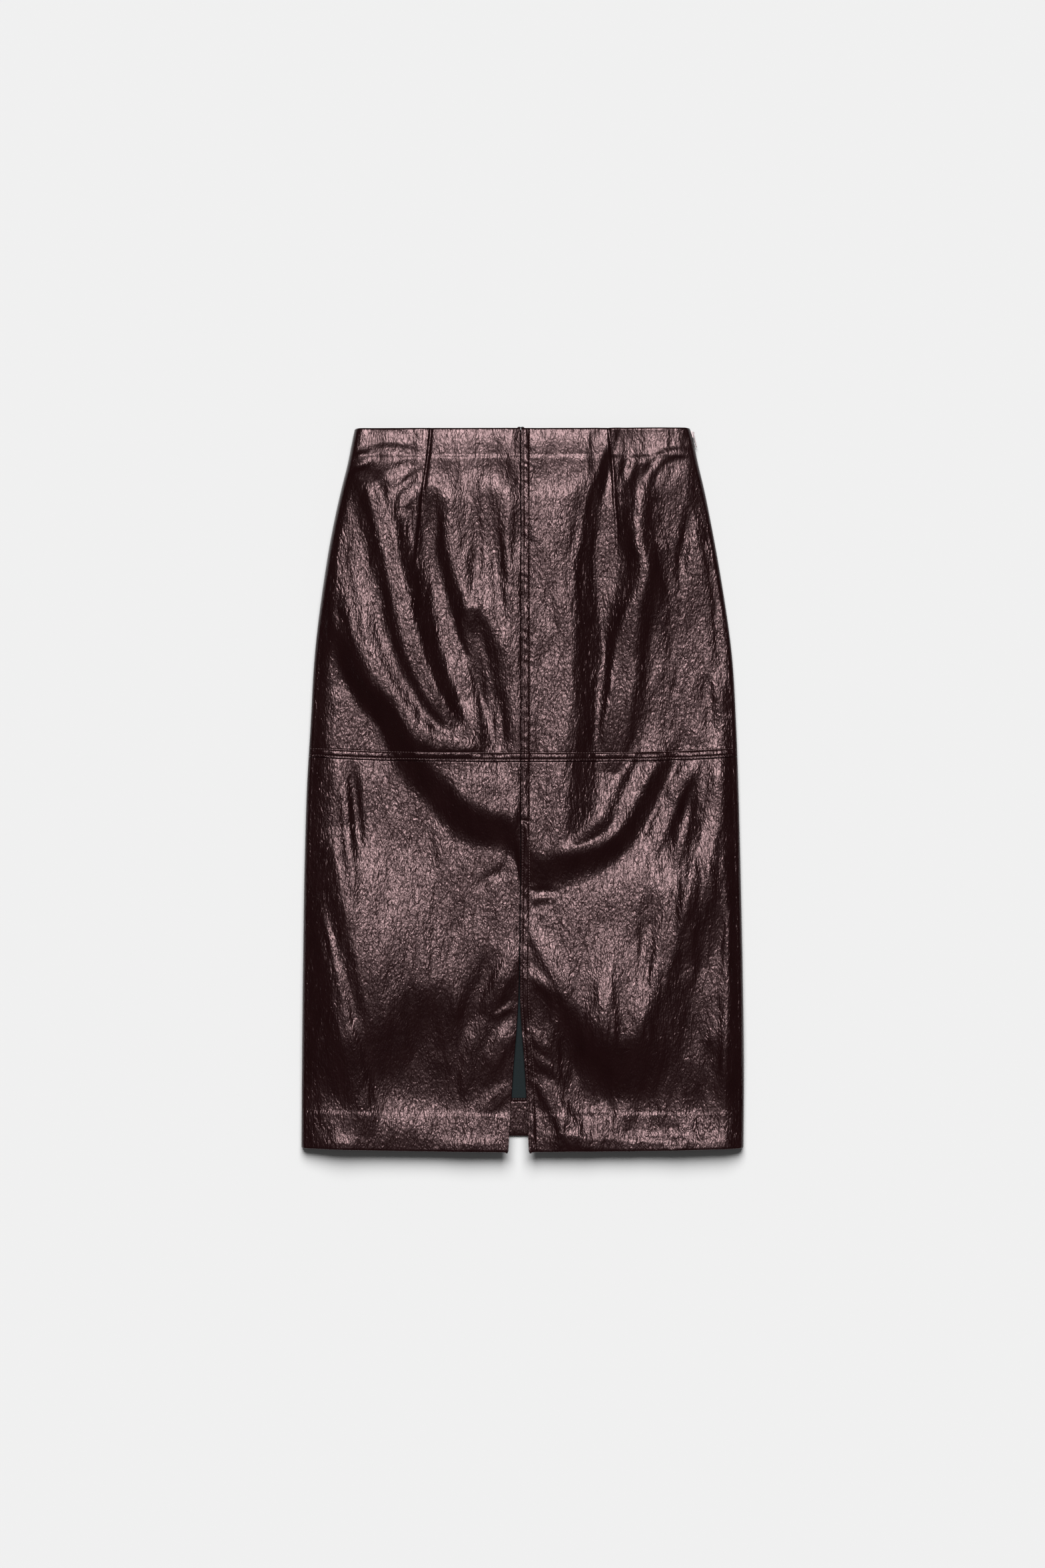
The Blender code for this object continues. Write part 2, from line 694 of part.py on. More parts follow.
def material(name, finish):
    colour, roughness, metallic = finish
    made = bpy.data.materials.new(name)
    made.use_nodes = True
    shader = made.node_tree.nodes["Principled BSDF"]
    shader.inputs["Base Color"].default_value = colour
    shader.inputs["Roughness"].default_value = roughness
    shader.inputs["Metallic"].default_value = metallic
    made.diffuse_color = colour
    return made


def link(obj, made):
    bpy.data.collections[NAME].objects.link(obj)
    obj.data.materials.append(made)
    obj.data.shade_smooth()
    return obj


def panel(name, grid, flip):
    """An open grid of cloth, given its wall on the inside."""
    rows, columns = grid.shape[:2]
    faces = []
    for r in range(rows - 1):
        for c in range(columns - 1):
            a = r * columns + c
            quad = (a, a + 1, a + columns + 1, a + columns)
            faces.append(quad[::-1] if flip else quad)
    mesh = bpy.data.meshes.new(name)
    mesh.from_pydata([tuple(p * MM) for p in grid.reshape(-1, 3)], [], faces)
    mesh.update()
    obj = link(bpy.data.objects.new(name, mesh), material(name, LEATHER))
    wall = obj.modifiers.new("wall", "SOLIDIFY")
    wall.thickness = WALL * MM
    wall.offset = -1.0
    wall.use_even_offset = True
    return obj


def make_upper_front(side, name):
    grid = front_grid(side, True)
    turned = turned_edge(grid, True, ((WAIST_TURN, None),))
    panel(name, turned, flip=side < 0)


def make_lower_front(side, name):
    grid = front_grid(side, False)
    under = [(distance, -2 - k) for k, distance in enumerate(sorted(HEM_ROWS))]
    under.append((HEM_DEPTH, -2 - len(HEM_ROWS)))
    turned = turned_edge(grid, True, under)
    panel(name, turned, flip=side > 0)


def make_back(upper, name):
    grid = back_grid(upper)
    depths = ((WAIST_TURN, None),) if upper else ((HEM_DEPTH, -2),)
    turned = turned_edge(grid, False, depths)
    panel(name, turned, flip=upper)


def zip_frame():
    """Where the zip's tab hangs: a point on the side seam, and the seam's slope there."""
    low = float(half_width(1, ZIP_Y - TAB_LENGTH))
    high = float(half_width(1, ZIP_Y))
    slope = math.atan2(low - high, TAB_LENGTH)
    stand_off = SEAM_GAP + SLIDER_THICKNESS + SEAM_GAP + TAB_BAR / 2
    x = high + stand_off * math.cos(slope)
    y = ZIP_Y + stand_off * math.sin(slope)
    return (x * MM, y * MM, SIDE_Z * MM), slope


def plain_box(name, size, centre, finish):
    """A box with sharp edges, moved to its centre."""
    bpy.ops.mesh.primitive_cube_add(size=1.0)
    obj = bpy.context.object
    obj.name = name
    obj.data.name = name
    for collection in list(obj.users_collection):
        collection.objects.unlink(obj)
    for vertex in obj.data.vertices:
        vertex.co = [vertex.co[i] * size[i] * MM + centre[i] * MM for i in range(3)]
    return link(obj, material(name, finish))


def cutter(name, size, centre):
    box = plain_box(name, size, centre, ZIP_METAL)
    bpy.data.collections[NAME].objects.unlink(box)
    bpy.data.collections["cutters"].objects.link(box)
    box.hide_render = True
    box.display_type = "WIRE"
    return box


def make_zip():
    """The slider on the side seam with its wire bridge, and the tab that swings on the bridge.

    Both are made with the hinge at their origin, the seam along -Y and its outside along +X.
    """
    place, slope = zip_frame()
    drop = TAB_BAR / 2 + SEAM_GAP + SLIDER_THICKNESS / 2
    slider = plain_box(
        "zip_slider", (SLIDER_THICKNESS, SLIDER_LENGTH, SLIDER_WIDTH), (-drop, -SLIDER_BELOW, 0.0), ZIP_METAL
    )
    wire = bpy.data.curves.new("zip_bridge", "CURVE")
    wire.dimensions = "3D"
    wire.bevel_depth = BRIDGE_WIRE * MM
    wire.bevel_resolution = 1
    wire.use_fill_caps = True
    spline = wire.splines.new("POLY")
    arch = [(-drop, -BRIDGE_RADIUS)]
    for k in range(BRIDGE_STEPS + 1):
        angle = math.pi * k / BRIDGE_STEPS
        arch.append((BRIDGE_RADIUS * math.sin(angle), -BRIDGE_RADIUS * math.cos(angle)))
    arch.append((-drop, BRIDGE_RADIUS))
    spline.points.add(len(arch) - 1)
    for point, (x, y) in zip(spline.points, arch):
        point.co = (x * MM, y * MM, 0.0, 1.0)
    bridge_curve = bpy.data.objects.new("zip_bridge", wire)
    bpy.data.collections["cutters"].objects.link(bridge_curve)
    bpy.context.view_layer.update()
    seen = bridge_curve.evaluated_get(bpy.context.evaluated_depsgraph_get())
    bridge = bpy.data.objects.new("zip_bridge_solid", bpy.data.meshes.new_from_object(seen))
    bpy.data.objects.remove(bridge_curve)
    bpy.data.collections["cutters"].objects.link(bridge)
    bridge.hide_render = True
    bridge.display_type = "WIRE"
    weld = bridge.modifiers.new("caps", "WELD")
    weld.merge_threshold = WELD_REACH * MM
    join = slider.modifiers.new("bridge", "BOOLEAN")
    join.operation = "UNION"
    join.object = bridge

    tab_middle = TAB_BAR / 2 - TAB_LENGTH / 2
    tab = plain_box(
        "zip_pull_tab", (TAB_THICKNESS, TAB_LENGTH, TAB_WIDTH), (0.0, tab_middle, 0.0), ZIP_METAL
    )
    rounding = tab.modifiers.new("edges", "BEVEL")
    rounding.width = EDGE_ROUND * MM
    rounding.segments = EDGE_SEGMENTS
    window_middle = -TAB_BAR / 2 - WINDOW_LENGTH / 2
    window = cutter(
        "tab_window", (3 * TAB_THICKNESS, WINDOW_LENGTH, WINDOW_WIDTH), (0.0, window_middle, 0.0)
    )
    hole = tab.modifiers.new("window", "BOOLEAN")
    hole.operation = "DIFFERENCE"
    hole.object = window
    for obj in (slider, bridge, tab, window):
        obj.location = place
        obj.rotation_euler = (0.0, 0.0, slope)


def main():
    for obj in list(bpy.data.objects):
        bpy.data.objects.remove(obj)
    for name in (NAME, "cutters"):
        bpy.context.scene.collection.children.link(bpy.data.collections.new(name))
    for side, word in ((-1, "left"), (1, "right")):
        make_upper_front(side, f"front_upper_{word}")
        make_lower_front(side, f"front_lower_{word}")
    make_back(True, "back_upper")
    make_back(False, "back_lower")
    make_zip()


main()
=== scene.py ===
"""Faux leather midi skirt, laid flat with its front up: its cloth, its sewing and the light on it.

The skirt is a flattened tube. X runs to the right, Y from the hem to the waist and Z up from the
floor, and the tables below are in millimetres. "Left" and "right" are as seen from above.
"""

import logging
import math
from dataclasses import dataclass
from enum import Enum
from typing import Callable, Sequence

import bpy
import numpy as np
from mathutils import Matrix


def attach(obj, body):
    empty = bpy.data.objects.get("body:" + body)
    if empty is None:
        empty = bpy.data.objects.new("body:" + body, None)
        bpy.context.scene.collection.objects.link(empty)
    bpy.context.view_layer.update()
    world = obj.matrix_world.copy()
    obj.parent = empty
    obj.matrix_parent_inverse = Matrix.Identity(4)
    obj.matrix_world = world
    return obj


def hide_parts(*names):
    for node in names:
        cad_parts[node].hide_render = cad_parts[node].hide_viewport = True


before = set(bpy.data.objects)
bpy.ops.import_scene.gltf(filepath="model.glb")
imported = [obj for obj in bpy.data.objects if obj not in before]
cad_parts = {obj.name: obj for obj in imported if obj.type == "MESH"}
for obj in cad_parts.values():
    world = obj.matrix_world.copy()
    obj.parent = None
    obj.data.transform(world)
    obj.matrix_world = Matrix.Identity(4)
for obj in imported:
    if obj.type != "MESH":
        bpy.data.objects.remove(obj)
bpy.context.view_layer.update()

log = logging.getLogger("midi_skirt")
MM = 0.001
Array = np.ndarray
Height = Callable[[Array, Array], Array]  # the cloth's height at places x and y
Line = Callable[[Array], tuple[Array, Array]]  # x and y for places along a line
Colour = tuple[float, float, float, float]
Scale = tuple[float, float, float]  # of a pattern, along each axis
Feed = bpy.types.NodeSocket | float | tuple  # what goes into a node's input


class Side(Enum):
    """A side of the middle seam, as seen from above."""

    LEFT = -1
    RIGHT = 1


class Level(Enum):
    """Above or below the yoke seam."""

    UPPER = "upper"
    LOWER = "lower"


class Crest(Enum):
    """How a fold is rounded at its top: the power of the distance in its bell."""

    SOFT = 2.0
    CRISP = 1.3


@dataclass(frozen=True)
class Fold:
    """A ridge or valley of the cloth along a curve, in millimetres.

    Each row is a place on the curve: x, y, the half width of its flat top, the width of its lower
    flank (the left one where it runs up and down), the width of its upper flank (the right one),
    and its height, which is below zero in a valley. The rows run down or to the right.
    """

    rows: tuple[tuple[float, float, float, float, float, float], ...]
    crest: Crest = Crest.SOFT


# ------------------------------------------------------------------ tables

OUTLINE = {  # half widths at each height
    "y": (-380, -285, -190, -64, 0, 74, 140, 216, 270, 316, 344, 363, 380),
    "left": (232.3, 231.7, 230.7, 228.6, 226.6, 222.3, 218.4, 209.2, 200.2, 190.2, 183.2, 179.5, 176),
    "right": (231.5, 232, 230.7, 227.9, 226.2, 223.5, 219.4, 208.8, 199.2, 190, 183.4, 179.5, 175),
}
SLIT = {  # the slit's two edges, and the middle seam above it
    "y": (-380, -327, -285, -247, -222, -159, -96, -32, 380),
    "left": (-15.3, -12.1, -9.4, -6.3, -4.8, -3.4, -2.7, -2.25, -2.25),
    "right": (6.3, 3.9, 1.5, -1.4, -2.9, -2.9, -2.3, -1.95, -1.95),
}
BELLY = {  # the middle of the slope where the dome over the hips ends, its height and width
    "x": (-240, -205, -165, -145, -122, -90, -62, -40, -14, -6, 5, 14, 40, 70, 95, 118, 142, 160, 176, 240),
    "y": (240, 168, 100, 78, 34, -2, -30, -40, -46, -52, -76, -83, -81, -73, -61, -39, 6, 36, 64, 170),
    "drop": (2, 4, 8, 8.4, 9, 9, 9, 9, 8.4, 7.8, 6.4, 6, 6, 6, 5.6, 5, 4, 1.6, 0, 0),
    "run": (28, 26, 28, 32, 36, 42, 46, 46, 42, 40, 40, 44, 46, 44, 38, 30, 25, 22, 20, 20),
}
HIP = {  # the middle of the slope down to the right hip, its width and its height
    "y": (-150, -90, -60, -30, 20, 60, 100, 140, 180, 220, 260, 300, 340, 380),
    "x": (50, 52, 54, 58, 62, 66, 68, 68, 66, 65, 69, 74, 86, 100),
    "run": (40, 40, 42, 42, 42, 43, 43, 42, 36, 28, 23, 20, 17, 16),
    "drop": (0, 0, 2.5, 6, 8.4, 9.2, 9.2, 9.2, 8.6, 7.4, 6.4, 5.4, 3.8, 2.6),
}
THIGH = {  # the middle of the slope from the thighs down to the hem, and its height
    "x": (-240, -200, -160, -140, -110, -85, -70, -50, -20, 0, 30, 60, 85, 105, 125, 142, 155, 170, 200, 240),
    "y": (
        -300, -290, -275, -268, -236, -236, -254, -240, -222, -220, -238, -262, -284, -292, -280, -256,
        -230, -195, -120, -60,
    ),
    "drop": (2, 3, 4, 5, 5.4, 5.4, 5, 4.4, 4, 4, 5, 6.4, 6.6, 6.6, 6.4, 6.2, 6, 5.5, 4, 3),
}
ROLL = {  # how wide the front rolls off towards each side, and the share of its height lost there
    "y": (-380, -200, -60, 100, 200, 300, 380),
    "left": (56, 46, 36, 26, 20, 14, 10),
    "right": (24, 22, 20, 20, 18, 14, 10),
    "share": (0.55, 0.62, 0.62, 0.55, 0.42, 0.28, 0.16),
}
FOLDS = (  # the large folds
    # the fan at the upper left: its highest ridge, its valley, and the ridge along its foot
    Fold(((-166, 340, 2, 10, 10, 0), (-158, 318, 4, 12, 14, 3), (-147, 282, 5, 12, 15, 4),
          (-134, 228, 6, 13, 15, 4.4), (-124, 180, 7, 13, 15, 4.4), (-108, 130, 6, 12, 13, 4),
          (-88, 90, 5, 10, 10, 3), (-68, 64, 3, 8, 8, 0.5))),
    Fold(((-93, 318, 1, 14, 10, 0), (-95, 285, 2, 22, 12, -3), (-96, 250, 3, 22, 13, -4.5),
          (-87, 210, 4, 20, 13, -5), (-76, 160, 6, 18, 12, -5), (-62, 118, 9, 14, 10, -4),
          (-52, 84, 8, 12, 9, -2.6), (-48, 62, 5, 8, 8, 0))),
    Fold(((-184, 240, 3, 12, 12, 0), (-176, 195, 6, 14, 14, 2), (-167, 155, 6, 16, 15, 3),
          (-156, 129, 4, 18, 16, 3.4), (-142, 105, 3, 18, 16, 3.6), (-127, 83, 3, 18, 16, 3.6),
          (-112, 65, 3, 18, 15, 3.4), (-96, 53, 3, 16, 14, 3), (-76, 48, 3, 12, 12, 2.4),
          (-56, 48, 3, 10, 10, 1.8), (-44, 58, 2, 8, 8, 0))),
    # beside the middle seam
    Fold(((-58, 190, 2, 10, 10, 0), (-48, 160, 2, 12, 15, -3.4), (-40, 128, 3, 12, 17, -4.2),
          (-34, 92, 3, 12, 16, -4), (-29, 60, 3, 12, 14, -3), (-24, 34, 2, 10, 12, -1.2),
          (-20, 10, 2, 10, 10, 0))),
    # the S on the upper right, which ends as a shelf
    Fold(((127, 342, 1, 10, 12, 0), (122, 315, 1.5, 14, 14, 4.2), (120, 285, 1.5, 15, 15, 5.6),
          (122, 258, 1.5, 15, 15, 6), (127, 238, 1.5, 17, 15, 6.2), (124, 212, 1.5, 18, 16, 6.2),
          (117, 190, 2, 20, 19, 6), (110, 168, 6, 15, 18, 5.8), (106, 138, 9, 11, 17, 5.2),
          (103, 108, 10, 10, 17, 4.8), (98, 75, 9, 10, 17, 4), (94, 45, 7, 10, 15, 2.4),
          (92, 18, 5, 10, 12, 0))),
    # the shallow hollow between the fan and the middle seam
    Fold(((-52, 335, 6, 16, 14, 0), (-46, 290, 8, 18, 16, -1.6), (-42, 235, 8, 18, 16, -2),
          (-42, 190, 5, 14, 14, 0))),
    # the rim of the hollow under the right hip
    Fold(((34, -72, 1, 8, 8, 0), (58, -63, 2, 14, 10, 2), (80, -53, 3, 15, 11, 3),
          (98, -38, 3, 15, 12, 3.2), (108, -14, 4, 15, 12, 3.2), (118, 8, 5, 15, 10, 2.8),
          (128, 28, 6, 13, 8, 1.8), (136, 48, 5, 10, 8, 0))),
    # streaks down the right side
    Fold(((182, 44, 3, 9, 8, 0), (176, 25, 4, 10, 8, 1.4), (164, 3, 5, 10, 8, 1.8),
          (152, -22, 5, 10, 8, 1.8), (141, -46, 5, 10, 8, 1.6), (128, -70, 5, 10, 8, 0))),
    Fold(((209, 50, 3, 9, 9, 0), (206, 10, 4, 11, 12, 1.8), (198, -32, 5, 12, 14, 2.6),
          (189, -66, 6, 12, 16, 3), (182, -106, 6, 12, 18, 3), (175, -145, 6, 12, 20, 2.4),
          (166, -180, 6, 12, 20, 0))),
    # the left side: a narrow streak and the slope up to the thigh
    Fold(((-220, -105, 2, 9, 8, 0), (-208, -155, 3, 13, 9, 2.2), (-197, -200, 4, 15, 9, 2.8),
          (-190, -235, 4, 17, 10, 2.8), (-180, -272, 4, 19, 10, 2.8), (-170, -312, 4, 20, 9, 2.6),
          (-164, -340, 3, 16, 9, 1.4), (-162, -362, 3, 12, 8, 0))),
    Fold(((-198, -40, 3, 12, 30, 0), (-185, -95, 4, 17, 44, 3.2), (-176, -140, 4, 17, 48, 3.8),
          (-166, -185, 4, 17, 48, 3.6), (-157, -225, 4, 15, 44, 2.4), (-148, -262, 4, 12, 34, 0))),
    # beside the slit
    Fold(((-28, -165, 1, 9, 9, 0), (-40, -195, 2, 13, 12, -1.6), (-52, -222, 2, 14, 12, -2),
          (-64, -250, 2, 14, 12, -1.8), (-82, -285, 2, 12, 12, 0))),
    Fold(((12, -205, 1, 8, 8, 0), (28, -232, 2, 12, 12, -1.6), (46, -262, 4, 14, 14, -2.2),
          (64, -296, 5, 14, 18, -2.4), (78, -326, 5, 12, 20, -1.6), (88, -350, 4, 10, 12, 0))),
    Fold(((14, -300, 2, 6, 9, 0), (28, -320, 3, 7, 11, 1.6), (41, -343, 4, 8, 12, 2),
          (53, -364, 5, 8, 12, 1.8), (62, -384, 5, 8, 12, 1))),
)
MOUNDS = (  # soft mounds: x and y of the middle, half widths along x and y, and height
    (92, -238, 62, 74, 4.2),  # the right thigh
    (-110, -190, 60, 90, 1.6),  # the left thigh
    (-118, -352, 44, 26, 1.6),  # under the hem at the left
    (70, -352, 36, 20, 1.0),  # and at the right
)
CREASES = (  # smaller folds on them
    Fold(((-30, 310, 0, 8, 7, 0), (-27, 255, 1, 9, 7, -1.3), (-24, 200, 1, 9, 8, -1.6),
          (-22, 150, 1, 8, 8, 0))),
    Fold(((-28, 96, 1, 3, 3, 0), (-26, 70, 1, 3, 3, 1), (-25, 46, 1, 3, 3, 0))),
    Fold(((-7, 305, 1, 6, 6, 0), (-6, 262, 1, 6, 6, -1.2), (-8, 230, 1, 6, 6, 0))),
    Fold(((-50, 330, 1, 7, 7, 0), (-47, 270, 1, 7, 7, -0.8), (-52, 205, 1, 7, 7, -0.8),
          (-58, 180, 1, 6, 6, 0))),
    # the edge of the left hip
    Fold(((-188, 305, 1, 6, 5, 0), (-195, 255, 1, 6, 6, 1.2), (-201, 200, 1, 6, 7, 1.4),
          (-203, 150, 1, 6, 7, 1.2), (-206, 95, 1, 6, 6, 0))),
    # puckers left of the left dart
    Fold(((-158, 322, 1, 5, 5, 0), (-134, 335, 1, 5, 5, 0.45), (-106, 345, 1, 4, 4, 0))),
    Fold(((-140, 305, 1, 5, 5, 0), (-122, 321, 1, 5, 4, 0.6), (-105, 334, 1, 4, 4, 0.2))),
    Fold(((-128, 292, 1, 4, 4, 0), (-117, 303, 1, 4, 4, 0.55), (-106, 314, 1, 3, 3, 0))),
    Fold(((-109, 322, 1, 4, 3, 0), (-110, 290, 1.5, 4, 3, 1.6), (-111, 262, 1.5, 4, 3, 1.4),
          (-113, 236, 1, 4, 3, 0))),
    # along the facing's edge
    Fold(((-186, 344, 1, 4, 3, 0), (-172, 349, 1, 4, 3, 0.8), (-156, 351, 1, 4, 3, 0))),
    Fold(((-188, 333, 1, 4, 3, 0), (-176, 338, 1, 4, 3, -0.8), (-160, 341, 1, 4, 3, 0))),
    Fold(((-170, 350, 1, 4, 4, 0), (-150, 355, 2, 5, 5, 0.5), (-118, 353, 2, 5, 5, 0.4),
          (-101, 350, 1, 4, 4, 0))),
    Fold(((-178, 364, 1, 5, 5, 0), (-150, 371, 2, 5, 5, 0.4), (-105, 368, 1, 5, 5, 0))),
    Fold(((126, 322, 1, 5, 5, 0), (135, 336, 1.5, 6, 6, 1.0), (145, 348, 1.5, 6, 5, 1.0),
          (162, 353, 1.5, 5, 5, 0.9), (182, 350, 1, 5, 5, 0.4))),
    Fold(((110, 352, 1, 4, 4, 0), (107, 338, 1, 5, 5, 1.0), (104, 322, 1, 4, 4, 0))),
    # the fuller left side of the slope down to the right hip
    Fold(((80, 332, 1, 13, 6, 0), (67, 300, 2, 16, 8, -1.3), (60, 255, 2, 17, 8, -1.6),
          (56, 205, 2, 15, 8, -1.4), (54, 168, 1, 12, 8, 0))),
    # the right hip
    Fold(((177, 305, 1, 5, 5, 0), (171, 268, 1, 6, 6, -1.4), (166, 238, 1, 6, 6, -1.4),
          (165, 200, 1, 5, 5, 0))),
    Fold(((180, 345, 1, 6, 4, 0), (184, 315, 2, 7, 4, -1.2), (190, 272, 2, 7, 5, -1.4),
          (197, 232, 1, 6, 5, -1.0), (204, 160, 1, 6, 5, -1.0), (208, 100, 1, 6, 5, 0))),
    Fold(((193, 120, 1, 6, 6, 0), (196, 85, 1, 6, 6, -1.1), (196, 45, 1, 6, 6, 0))),
    # the lower left: streaks, the small hollow and the W
    Fold(((-178, 30, 1, 4, 5, 0), (-176, 0, 1, 5, 5, -1.3), (-173, -35, 1, 5, 5, -1.2),
          (-168, -80, 1, 4, 5, 0))),
    Fold(((-190, 28, 1, 5, 4, 0), (-186, -10, 2, 5, 4, 1.0), (-182, -60, 2, 5, 4, 1.0),
          (-174, -120, 1, 5, 4, 0))),
    Fold(((-50, -104, 1, 5, 5, 0), (-34, -92, 1, 5, 7, -0.9), (-14, -80, 1, 5, 5, 0))),
    Fold(((-40, -236, 1, 7, 6, 0), (-50, -266, 2, 8, 8, 1.0), (-59, -296, 2, 8, 8, 1.1),
          (-70, -332, 1, 7, 7, 0))),
    # diagonals up to the slit on the left
    Fold(((-4, -152, 1, 5, 5, 0), (-11, -176, 3, 8, 8, 1.2), (-23, -202, 4, 9, 9, 1.4),
          (-42, -236, 2, 8, 8, 0))),
    Fold(((-8, -222, 1, 3, 3, 0), (-20, -231, 1, 3, 3, 0.8), (-32, -238, 1, 3, 3, 0))),
    Fold(((-5, -238, 1, 5, 5, 0), (-15, -255, 3, 8, 8, 1.2), (-28, -275, 4, 9, 9, 1.4),
          (-46, -308, 2, 8, 8, 0))),
    Fold(((-10, -304, 1, 5, 5, 0), (-24, -320, 3, 7, 7, 1.0), (-46, -338, 2, 6, 6, 0))),
    # and on the right
    Fold(((6, -130, 1, 5, 5, 0), (16, -158, 2, 7, 8, 1.2), (30, -185, 2, 8, 10, 1.5),
          (44, -212, 2, 8, 10, 1.1), (58, -240, 1, 7, 8, 0))),
    Fold(((4, -184, 1, 4, 4, 0), (18, -201, 1.5, 5, 6, 0.8), (40, -219, 1, 5, 5, 0))),
    Fold(((4, -244, 1, 4, 4, 0), (15, -261, 1.5, 5, 6, 0.9), (32, -280, 1, 5, 5, 0))),
    Fold(((7, -272, 1, 4, 4, 0), (21, -287, 1.5, 5, 6, 0.8), (42, -302, 1, 5, 5, 0))),
    Fold(((7, -108, 1, 4, 4, 0), (20, -106, 1, 4, 5, -0.7), (40, -108, 1, 4, 4, 0))),
    Fold(((6, -122, 1, 4, 4, 0), (16, -122, 1, 4, 5, -0.7), (32, -116, 1, 4, 4, 0))),
    # the right side
    Fold(((178, 22, 1, 5, 5, 0), (173, -15, 2, 7, 7, -1.8), (166, -52, 2, 7, 7, -1.6),
          (156, -84, 1, 6, 6, 0))),
    Fold(((124, -92, 1, 6, 6, 0), (129, -135, 3, 7, 7, -1.1), (129, -175, 3, 7, 7, -1.1),
          (124, -210, 1, 6, 6, 0))),
    Fold(((212, -40, 1, 6, 4, 0), (214, -100, 1, 6, 5, 1.0), (215, -170, 1, 7, 5, 1.6),
          (214, -225, 1, 7, 5, 1.0), (211, -285, 1, 6, 5, 1.2), (205, -325, 1, 6, 5, 0))),
    # the dip under the bar tack
    Fold(((-3, -31, 0.3, 1.4, 1.4, 0), (0, -31.7, 0.5, 1.4, 1.4, -0.7), (7, -33.4, 0.5, 1.4, 1.4, -0.7),
          (11, -34.4, 0.3, 1.4, 1.4, 0)), Crest.CRISP),
    # the hem
    Fold(((70, -352, 1, 6, 6, 0), (90, -356, 3, 7, 7, 0.9), (104, -362, 1, 6, 6, 0))),
    Fold(((18, -362, 1, 8, 7, 0), (46, -366, 3, 10, 8, 1.0), (88, -370, 3, 11, 8, 1.2),
          (140, -372, 3, 12, 9, 1.5), (196, -371, 2, 11, 8, 1.0), (220, -368, 1, 8, 8, 0))),
    Fold(((-214, -368, 1, 8, 8, 0), (-190, -371, 2, 11, 8, 1.0), (-172, -372, 1, 8, 8, 0))),
    Fold(((-92, -371, 1, 8, 8, 0), (-62, -373, 3, 11, 8, 1.2), (-34, -373, 2, 9, 8, 0.6),
          (-22, -372, 1, 8, 8, 0))),
)
DARTS = (  # the two waist darts: sewn grooves
    Fold(((-95.8, 384, 0, 0.6, 2.4, -1.4), (-101.2, 335, 0, 0.6, 2.4, -1.4),
          (-104.4, 316, 0, 0.6, 2.4, -1.4), (-109.1, 270, 0, 0.6, 2.4, -1.2),
          (-115.2, 214, 0, 0.6, 2.4, 0)), Crest.CRISP),
    Fold(((88.6, 384, 0, 0.6, 2.4, -1.4), (93.3, 343, 0, 0.6, 2.4, -1.4), (95.4, 304, 0, 0.6, 2.4, -1.4),
          (98.0, 267, 0, 0.6, 2.4, -1.1), (96.1, 231, 0, 0.6, 2.4, 0)), Crest.CRISP),
)


RIPPLES = (  # soft ripples: height, width, length, length of the slant, share of the lean, seed
    (0.62, 27.0, 68.0, math.inf, 0, 1.0),
    (0.35, 12.0, 41.0, 160.0, 1, 2.0),
    (0.19, 6.3, 23.0, -110.0, -1, 3.0),
    (0.07, 3.3, 11.0, 70.0, 2, 4.0),
)
WANDER = (  # wider noise that pushes the ripples aside: by how much, its width, length and seed
    (9.0, 70.0, 95.0, 5.0),
    (3.0, 21.0, 33.0, 6.0),
)
LEAN = (9.0, 160.0, 900.0, 7.0)  # the ripples' lean: length over its width, and the noise in it
RAMP_END = 0.33  # share of a ramp that is rounded at either end
FOLD_STEEPNESS = 1.4
FOLD_REACH = 2.2  # flank widths past which a fold adds nothing
FOLD_STEPS = 4  # straight steps between two rows of a fold
TURN_STEPS = 8  # rows in the half circle of a turned edge
BEND, SEAM = 3, 4  # numbers of the strips of columns in a side's bend and at its seam
HEM = 3  # number of the strip of rows in the hem
ROLL_ANGLES = np.radians([100.0, 75.0, 50.0, 25.0])  # rows of a rolled edge, from its inner end
LATTICE = (12.9898, 78.233, 37.719, 43758.5453)  # what makes the noise's fixed values uneven


# ------------------------------------------------------------------ curves and noise


def smooth(share: Array) -> Array:
    """Ease from 0 to 1: 3t^2 - 2t^3."""
    t = np.clip(share, 0.0, 1.0)
    return t * t * (3.0 - 2.0 * t)


def ramp(share: Array) -> Array:
    """A straight rise from 0 to 1 with rounded ends.

    Formula: a parabola over the first and the last third, and a line between them.

    Args:
        share: place along the ramp, 0 at its foot and 1 at its top.

    Returns:
        The share of the rise at each place.
    """
    t = np.clip(share, 0.0, 1.0)
    start = t * t / (2 * RAMP_END)
    stop = 1 - RAMP_END - (1 - t) ** 2 / (2 * RAMP_END)
    upper = np.where(t > 1 - RAMP_END, stop, t - RAMP_END / 2)
    return np.where(t < RAMP_END, start, upper) / (1 - RAMP_END)


def along(table: dict[str, tuple], key: str, column: str, at: Array) -> Array:
    """A smooth curve through a table's rows.

    Formula: cubic pieces between the rows, with slopes taken from their neighbours.

    Args:
        table: the columns by name.
        key: the column that `at` is measured in.
        column: the column that is read.
        at: places along the key.

    Returns:
        The column's value at each place.
    """
    keys = np.array(table[key], float)
    values = np.array(table[column], float)
    slopes = np.gradient(values, keys)
    at = np.clip(at, keys[0], keys[-1])
    i = np.clip(np.searchsorted(keys, at) - 1, 0, len(keys) - 2)
    run = keys[i + 1] - keys[i]
    t = (at - keys[i]) / run
    start = (1 + 2 * t) * (1 - t) ** 2 * values[i] + t * (1 - t) ** 2 * run * slopes[i]
    end = t * t * (3 - 2 * t) * values[i + 1] + t * t * (t - 1) * run * slopes[i + 1]
    return start + end


